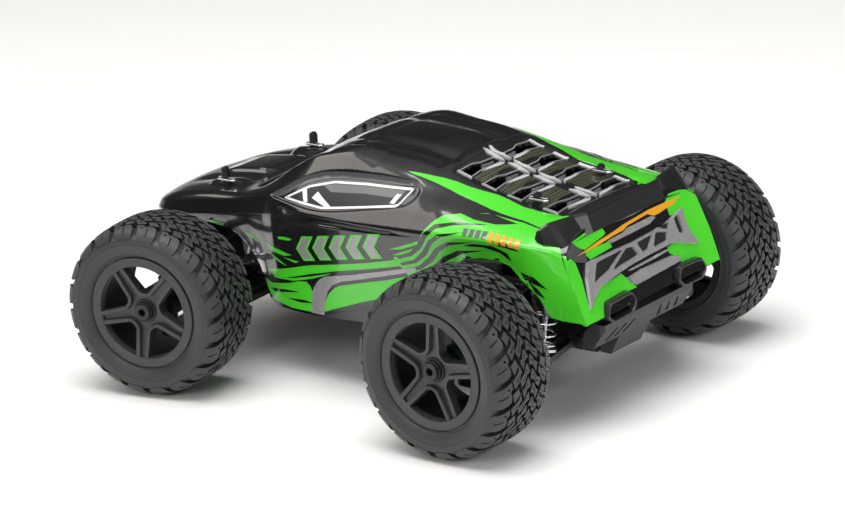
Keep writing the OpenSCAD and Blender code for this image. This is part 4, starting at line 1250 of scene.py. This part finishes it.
# two flecks ahead of the door, then the rear quarter
GREEN_ENDS = outlines("""
    110 83.0, 104 83.4, 97 82.2, 99 80.6, 106 80.4;
    82 80.4, 74 79.2, 68 76.6, 76 77.4;
    -38 86, -48 89, -54 93, -58 99, -61 104, -64 108.5, -68 111.4, -76 112.4, -90 112.4,
    -112 109.8, -128 107.4, -133 104.6, -139 102.4, -141.6 99.6, -143.2 95, -146.0 88, -148.9 80,
    -151.8 72, -154.2 65, -154.6 62.9, -142 63.2, -136.2 64.6, -133.4 70, -130.6 74.8,
    -124.4 80.8, -119.4 85.2, -113 90.8, -106 92.8, -95 92.6, -84 90.6, -74 85, -66 78, -60 71,
    -52 60, -50 72, -46 76
""")
# streaks over the rear quarter, then marks on the sill
BLACK = outlines("""
    -40 87, -50 90.8, -56 96, -61 103, -66 107.6, -78 109.4, -96 109.2, -78 108.2, -68 106,
    -63.5 101.6, -58 94, -51 88.8, -42 85.6;
    -42 83.2, -52 86.6, -58 92, -64 99.6, -70 103.6, -84 105.6, -72 102.4, -66 98, -60 90,
    -53 84.8, -43 81.8;
    -44 80, -54 83, -61 88.6, -67 95.2, -75 99.8, -92 101.6, -76 98, -69 93.2, -63 86.6, -55 81,
    -45 78.6;
    -47 76.6, -56 79, -63 84.4, -70 90, -80 95, -98 97.6, -82 93.2, -72 88, -65 82.6, -57 77.2,
    -48 75.2;
    -76 112.6, -92 112.2, -110 109.6, -100 109.4, -86 110.6;
    -84 98.4, -98 99.6, -108 97.8, -115 93.6, -113 98, -104 101.2, -92 101;
    -104 104, -114 103, -121 99.6, -116 100.4, -108 101.6;
    -120 88.4, -128 86.4, -135.5 80, -128 82.6, -122 84.6;
    -124 84.6, -130 80, -134 75, -129 77.4;
    62 50.4, 48 52.4, 36 53, 46 51, 58 48.8;
    48 47.2, 34 48.6, 27 47.6, 38 46.4;
    -8 49.8, -20 52.4, -36 56.6, -47 61.4, -46 56, -44 50, -30 45.5, -10 43.2, 12 41.6, 22 41.8,
    8 45.6
""")
SILVER_BAND = outlines("""
    30 41.6, 27.6 50, 26.4 55, 23 60, 19.6 63.4, 15 66, 6 68, -4 70, -26 75.6, -52 82, -52 79.6,
    -28 73, -6 67.2, 3 65, 10 61.8, 15 56.6, 18.4 49.4, 20.4 41.6
""")
films("film_green", "side", GREEN_DOOR + [GREEN_SWOOSH] + GREEN_ENDS, "body_green", 0.26)
films("film_bars_edge", "side", [inset(c, -1.0) for c in CHEVRONS], "body_green", 0.34)
films("film_black", "side", BLACK, "body_black", 0.33)
films("film_silver", "side", SILVER_BAND + CHEVRONS, "body_silver", 0.42)

# side window: grey brow, dark pane, white outline, grey upper strip, white bars
WINDOW = rounded(
    [(46, 105.4), (29, 113.8), (12, 117.9), (-9, 119.2), (-41, 119.6), (-37, 111.6), (14, 104.6)],
    2.0, 3)
BROW_BAND = closed_curve([
    (57, 105.6), (48, 110.2), (38, 116), (24, 120.8), (6, 123), (-16, 123.6), (-36, 122.6),
    (-43, 121), (-38, 120.2), (-16, 120.4), (6, 119.8), (24, 116.8), (38, 111.4), (48, 106),
])
WINDOW_STRIP = outlines("20 115.1, 10 116.7, -8 117.8, -36 118.2, -35 115, -10 114.6, 12 112.8")
WINDOW_BARS = outlines("""
    33 110.6, 30.4 111.9, 26 106.4, 28.6 105.9;
    24 108.6, 21.4 111.8, 8 106.4, 12 105.8;
    -32 116.6, -35 116.6, -33.6 112.6, -30.4 112.6
""")
films("film_brow", "side", [BROW_BAND], "body_grey", 0.28)
films("film_window_pane", "side", [inset(WINDOW, 0.5)], "window_pane", 0.28)
films("film_window_line", "side", [WINDOW], "body_white", 0.40, holes=[[inset(WINDOW, 1.05)]])
films("film_window_strip", "side", WINDOW_STRIP, "body_grey", 0.36)
films("film_window_bars", "side", WINDOW_BARS, "body_white", 0.40)

# rows of bars on the rear quarter; the lower ends of the orange ones drop a little less each
QUARTER_BARS = [
    [(-100 - i * 4.2, 107.0 - i * 0.45), (-103 - i * 4.2, 106.6 - i * 0.45),
     (-104.6 - i * 4.2, 102.6 - i * 0.4), (-101.6 - i * 4.2, 103 - i * 0.4)]
    for i in range(5)
]
QUARTER_MARKS = slanted(
    4, first=(-84, 107.2), pitch=(-4.0, -0.1), shape=[(0, 0), (-2.8, 0), (-4, -2.8), (-1.2, -2.8)])
films("film_quarter_bars", "side", QUARTER_BARS, "body_orange", 0.40)
films("film_quarter_marks", "side", QUARTER_MARKS, "body_grey", 0.40)

# ------------------------------------------------------------------ rear face
REAR_GREEN = outlines("""
    52 103.2, 41 104.6, 33 105, 25 104.6, 23.4 100.2, 26 99.4, 44 97, 49 99.6;
    46 96.4, 22.4 95.6, 22 92.4, 42 91.4;
    -38 104.6, -47 104.2, -53.5 102.8, -57 100.6, -60.1 98, -61.4 90, -62.6 80, -62.7 70,
    -62.2 62.3, -50 62.3, -44 66, -38 68, -30 68.4, -28 73, -22 77, -22 80, -30 80.6, -38 80,
    -44 84, -43.5 92, -40 94, -33 94, -33 98, -32 101;
    62.2 62.3, 62.7 70, 62.6 80, 61.4 90, 60.4 95.6, 57.4 96.2, 54.6 93, 54 84, 56 70, 48 75,
    42 77, 22 78.4, 13 68.6, 26 69, 36 69, 42 66, 46 62.4, 53 62.3
""")
REAR_CORNER = outlines("60.2 97.4, 57 100.4, 52 103, 44 95.4, 45 90.4, 54 93.4, 57.4 96")
REAR_ORANGE = outlines("""
    52 95.6, 32 98, 16 99.2, 6 100.4, -18 101.6, -31 101.4, -47 101.2, -38 98.6, -33 98.4,
    -25 97.6, -20 97.6, -15 99.8, 4 98.9, 9 97.6, 17 97.4, 33 96.2
""")
REAR_LINES = outlines("25 104.2, -2 103.2, -28 104.2, -27 103.6, -2 102.5, 25 103.4")
films("film_rear_green", "rear", REAR_GREEN, "body_green", 0.12)
films("film_rear_corner", "rear", REAR_CORNER, "body_grey", 0.16)
films("film_rear_orange", "rear", REAR_ORANGE, "body_orange", 0.20)
films("film_rear_lines", "rear", REAR_LINES, "body_silver", 0.16)


def tail_corner():
    """The green wraps round the tail corner: a film on the rearmost rows of the skin."""
    rows = sum(bool(SKIN[i, 0, 0] <= SKIN[0, 0, 0] + 4.2) for i in range(6))
    cols = int((SKIN[0, :, 2] <= 98.2).sum())
    normal = NORMAL[:rows, :cols].copy()
    normal[..., 0] = 0
    normal /= np.linalg.norm(normal, axis=-1, keepdims=True)
    points = SKIN[:rows, :cols].copy()
    points[0] += np.array([-1, 0, REAR_LEAN]) * 0.12
    points, normal = points.reshape(-1, 3), normal.reshape(-1, 3)
    quads = grid_quads(np.arange(rows * cols).reshape(rows, cols))
    tris = np.array([tri for a, b, c, d in quads for tri in ((a, b, c), (a, c, d))])
    flip = not faces_along(points, tris, normal)
    bag = Bag()
    bag.add_pair(*solid(tris, points + normal * 0.24, points - normal * 0.2, flip))
    shell_part("film_tail_corner", bag.verts(), bag.faces, "body_green", angle=60)


tail_corner()


def plate(name, outer, mat, thick, chamfer, holes=()):
    """A raised plate on the rear face, its raised edges chamfered."""
    loops = [(inset(outer, chamfer), outer)] + [(inset(h, -chamfer), h) for h in holes]
    flat, tris = triangulate(loops[0][0], 3.0, [top for top, _ in loops[1:]])
    foot = spread(flat, tris, loops)
    top = on_rear(flat) + REAR_NORMAL * thick
    flip = not faces_along(top, tris, np.broadcast_to(REAR_NORMAL, top.shape))
    verts, faces = solid(tris, top, on_rear(foot) + REAR_NORMAL * -0.3, flip)
    shell_part(name, verts, faces, mat, angle=25)


LAMP_FRAME, = outlines("""
    46.5 91, 42 91.2, 14 90.8, 4 90.6, -15 91.2, -30 92.6, -40 95, -44.5 95.6, -43 88, -44.6 82,
    -49 74.4, -37 77.6, -31 80, -23 80.6, -6 80.4, 12 79.8, 22 79, 34 77.6, 42 76.6, 48 74,
    56.5 68.4, 53.5 78, 51.5 84
""")
LAMP_CELLS = outlines("""
    40 88.4, 17 88.8, 31 83.2, 46 80.4;
    13 88.6, 7 88.0, 4.6 83.6, 28 82.2;
    2.4 88.8, -11 89.2, -5.4 84.2, 0.4 83.8;
    -15 89.4, -24 87.4, -22.6 83.8, -10 83.6;
    -20 91.0, -28 91.2, -26.4 88.8;
    -34 92, -38 92.6, -38.4 84, -34.4 84.4
""")
LOWER_BAND, UPPER_BAND, THIN_BAND = outlines("""
    19 75.2, 6 76.2, -23 75.6, -31 73, -27 70.2, -10 70, 12 69.4, 17 71.6;
    24 96.4, 10 96.8, 5 98, -18 98.2, -21 96.4, -14 94.6, 11 94.2, 23 94.2;
    16 78.6, -20 79.6, -23 78.4, -8 77.4, 14 77.2
""")
plate("rear_lamp_frame", LAMP_FRAME, "body_silver", thick=1.7, chamfer=0.5,
      holes=[rounded(cell, 0.9, 3) for cell in LAMP_CELLS])
plate("rear_band_lower", LOWER_BAND, "body_silver", thick=1.5, chamfer=0.7)
plate("rear_band_upper", UPPER_BAND, "body_silver", thick=0.9, chamfer=0.4)
plate("rear_band_thin", THIN_BAND, "body_silver", thick=0.8, chamfer=0.3)
# dark backing behind the cells of the frame
plate("rear_lamp_cells", rounded(inset(LAMP_FRAME, 1.0), 0.6, 2), "spoiler", 0.35, chamfer=0.1)

# left half of the spoiler: y, then (x, z) at rear bottom, rear top, front top, front bottom
SPOILER = [
    (0.0, (-142.7, 103.2), (-139.1, 113.6), (-137.5, 114.0), (-131.5, 109.0)),
    (33.0, (-142.7, 103.2), (-139.2, 113.2), (-137.5, 113.6), (-131.0, 107.8)),
    (39.5, (-142.7, 103.0), (-135.4, 112.8), (-133.8, 113.2), (-129.0, 107.2)),
    (55.0, (-142.7, 102.2), (-133.4, 113.4), (-131.8, 113.8), (-127.5, 106.4)),
    (58.5, (-140.6, 102.0), (-132.6, 113.2), (-131.0, 113.6), (-127.0, 106.0)),
    (63.5, (-133.2, 104.0), (-130.6, 111.0), (-129.2, 111.2), (-127.0, 106.2)),
]
# softened section: a corner of the station, then the offset from it in x and z
SPOILER_RING = [
    (1, 0, 0), (2, -0.15, -0.7), (2, 0.35, 0), (3, 0, 0), (3, 0.8, -0.9), (4, 0, 0),
    (4, -1.5, -1.4), (1, 2.2, -0.3),
]


def spoiler():
    """A black lip that carries the rear face upwards, its ends swept forward."""
    stations = [(-row[0], *row[1:]) for row in SPOILER[:0:-1]] + SPOILER
    verts = [
        (row[corner][0] + dx, row[0], row[corner][1] + dz)
        for row in stations for corner, dx, dz in SPOILER_RING
    ]
    faces = loft_faces(len(stations), len(SPOILER_RING), flip=True)
    shell_part("spoiler_lip", verts, faces, "spoiler", angle=11)


spoiler()

OUTLET = [(-14.0, -1.0), (-9.5, -6.2), (9.0, -6.6), (14.0, -2.0), (10.5, 5.0), (-10.5, 5.8)]
BORE = inset(OUTLET, 1.5)
# x, outline and its scale, from the buried end out over the lip and back into the bore
OUTLET_RINGS = [
    (-136.0, OUTLET, 0.90), (-158.6, OUTLET, 1.0), (-159.4, inset(OUTLET, 0.5), 1.0),
    (-159.4, inset(OUTLET, 1.2), 1.0), (-158.4, BORE, 1.0), (-150.0, BORE, 0.94),
    (-150.0, inset(BORE, 3.0), 0.9),
]


def exhaust(name, side):
    """Hexagonal outlet let into a lower rear corner."""
    verts = []
    for x, outline, scale in OUTLET_RINGS:
        ring = rounded(np.array(outline) * scale, 2.0, 3)
        verts += [(x + b * 0.12, side * (33.0 + a), 64.8 + b + (x + 150) * 0.05) for a, b in ring]
    faces = loft_faces(len(OUTLET_RINGS), len(ring), flip=side < 0)
    shell_part(name, verts, faces, "spoiler", angle=30)


exhaust("exhaust_left", 1)
exhaust("exhaust_right", -1)

# ------------------------------------------------------------------ rear deck
# outlines round an opening as (x from its middle, y)
DART = [
    (6.0, 0.4), (9.4, 2.6), (6.8, 3.4), (3.4, 3.4), (0.6, 4.3), (-1.2, 3.3), (-5.4, 2.9),
    (-2.2, 1.4), (2.6, 0.4),
]
LEAVES = [
    [(-4.0, 22), (-4.1, 17), (-4.6, 8), (-5.4, 4.6), (-6.6, 5.0), (-6.6, 9), (-5.6, 16)],
    [(4.2, 33.2), (4.4, 31.4), (-4.2, 31.4), (-5.4, 32.6), (-5.0, 33.6), (-3.0, 33.0)],
]
BLADE = [(-0.55, 5.2), (0.55, 5.2), (1.0, 15.0), (-0.2, 15.0)]
BLADE_HEIGHT = 3.5
BLADE_OFFSETS = ((0.9, -0.6), (-1.2, -2.0))  # x from the middle, top from the deck


def slat(x, next_x):
    """Carbon between an opening and the next one behind it."""
    front, back = x - 4.9, next_x + 5.1
    return [
        (front, 31), (front, 20), (front - 0.4, 14), (front - 1.6, 5),
        (back + 0.4, 5), (back + 1.0, 14), (back, 20), (back, 31),
    ]


def deck_blades():
    """Blades standing in the inner half of every opening."""
    bag = Bag()
    for x in SLOT_X:
        deck_z = 0.5 * (on_top(x + 5, 12)[0][2] + on_top(x - 5, 12)[0][2])
        for half in (1, -1):
            for dx, dz in BLADE_OFFSETS:
                outline = np.array(shifted(BLADE, x + dx)) * [1, half]
                top = deck_z + dz
                add_prism(bag, outline, 4, top, bottom=top - BLADE_HEIGHT)
    shell_part("deck_blades", bag.verts(), bag.faces, "body_silver")


SLATS = [slat(x, next_x) for x, next_x in zip(SLOT_X, SLOT_X[1:])]
films("deck_carbon", "top", SLATS, "carbon_weave", 0.55, step=2.4)
films("deck_strokes", "top", [rounded(inset(s, -0.95), 2.0) for s in SLOTS], "body_silver", 0.70,
      step=2.4, holes=[[rounded(inset(s, -0.25), 1.7)] for s in SLOTS])
films("deck_leaves", "top", [shifted(leaf, x) for x in SLOT_X for leaf in LEAVES],
      "deck_silver", 0.85, step=2.4)
films("deck_darts", "top", [shifted(DART, x) for x in SLOT_X], "deck_silver", 0.90, step=2.4)
deck_blades()


# ------------------------------------------------------------------ floor, light, camera
def build_floor():
    mesh = bpy.data.meshes.new("floor_mesh")
    mesh.from_pydata([(-9, -9, 0), (9, -9, 0), (9, 9, 0), (-9, 9, 0)], [], [(0, 1, 2, 3)])
    floor = bpy.data.objects.new("floor", mesh)
    scene.collection.objects.link(floor)
    mesh.materials.append(Material("floor_mat").finish({
        "Base Color": (0.93, 0.925, 0.915),
        "Roughness": 0.75,
        "Specular IOR Level": 0.15,
    }))


# height of the view direction, grey level of the surroundings between the two end colours
SKY_GREYS = ((0.05, 0.26), (0.11, 0.045), (0.42, 0.035), (0.60, 0.10), (0.80, 0.30))


def build_world():
    """White to the camera; a graded grey studio to everything else."""
    world = bpy.data.worlds.new("studio")
    scene.world = world
    world.use_nodes = True
    tree = world.node_tree
    tree.nodes.clear()
    direction = add_node(tree, "TexCoord").outputs["Generated"]
    height = add_node(tree, "SeparateXYZ", {0: direction}).outputs[2]
    greys = [(position, (c, c, c * 0.97)) for position, c in SKY_GREYS]
    stops = [(0.0, (0.50, 0.50, 0.49)), *greys, (1.0, (0.70, 0.69, 0.66))]
    studio = add_node(tree, "Background", {"Color": add_ramp(tree, height, stops)})
    white = add_node(tree, "Background", {"Color": (1, 1, 1)})
    camera_ray = add_node(tree, "LightPath").outputs["Is Camera Ray"]
    mix = add_node(tree, "MixShader", {0: camera_ray, 1: studio.outputs[0], 2: white.outputs[0]})
    add_node(tree, "OutputWorld", {0: mix.outputs[0]})


def softbox(name, place, size, power, color=(1, 1, 1)):
    """Area light aimed at the car; place and size in metres."""
    light = bpy.data.lights.new(name, "AREA")
    light.shape = "RECTANGLE"
    light.size, light.size_y = size
    light.energy, light.color = power, color
    obj = bpy.data.objects.new(name, light)
    obj.location = place
    aim = Vector((0, 0, 0.06)) - Vector(place)
    obj.rotation_euler = aim.to_track_quat("-Z", "Y").to_euler()
    scene.collection.objects.link(obj)


def build_camera(azimuth, elevation, distance, roll, target):
    """Camera at a distance (m) from target; angles in radians, azimuth from -x towards +y."""
    level = math.cos(elevation)
    back = Vector((-math.cos(azimuth) * level, math.sin(azimuth) * level, math.sin(elevation)))
    right = (-back).cross(Vector((0, 0, 1))).normalized()
    up = right.cross(-back)
    rolled_right = right * math.cos(roll) + up * math.sin(roll)
    rolled_up = -right * math.sin(roll) + up * math.cos(roll)
    data = bpy.data.cameras.new("camera")
    data.sensor_width, data.lens = 36.0, 146.87
    data.clip_start, data.clip_end = 0.05, 50.0
    camera = bpy.data.objects.new("camera", data)
    matrix = Matrix((rolled_right, rolled_up, back)).transposed().to_4x4()
    matrix.translation = Vector(target) + back * distance
    camera.matrix_world = matrix
    scene.collection.objects.link(camera)
    scene.camera = camera


build_floor()
build_world()
softbox("top_box", place=(-0.10, 0.25, 1.9), size=(1.7, 1.4), power=36)
softbox("left_box", place=(-0.2, 1.9, 1.1), size=(1.5, 0.8), power=13, color=(1.0, 0.985, 0.96))
softbox("back_box", place=(-1.9, -0.2, 0.9), size=(1.2, 0.7), power=11)
softbox("front_box", place=(1.30, 0.25, 1.45), size=(1.1, 0.9), power=6, color=(1.0, 0.95, 0.88))
build_camera(azimuth=0.87779, elevation=0.31403, distance=1.92768, roll=-0.0716,
             target=(-0.01571, 0.0130, 0.05845))
scene.view_settings.view_transform = "Standard"
scene.view_settings.look = "None"

bpy.context.view_layer.update()
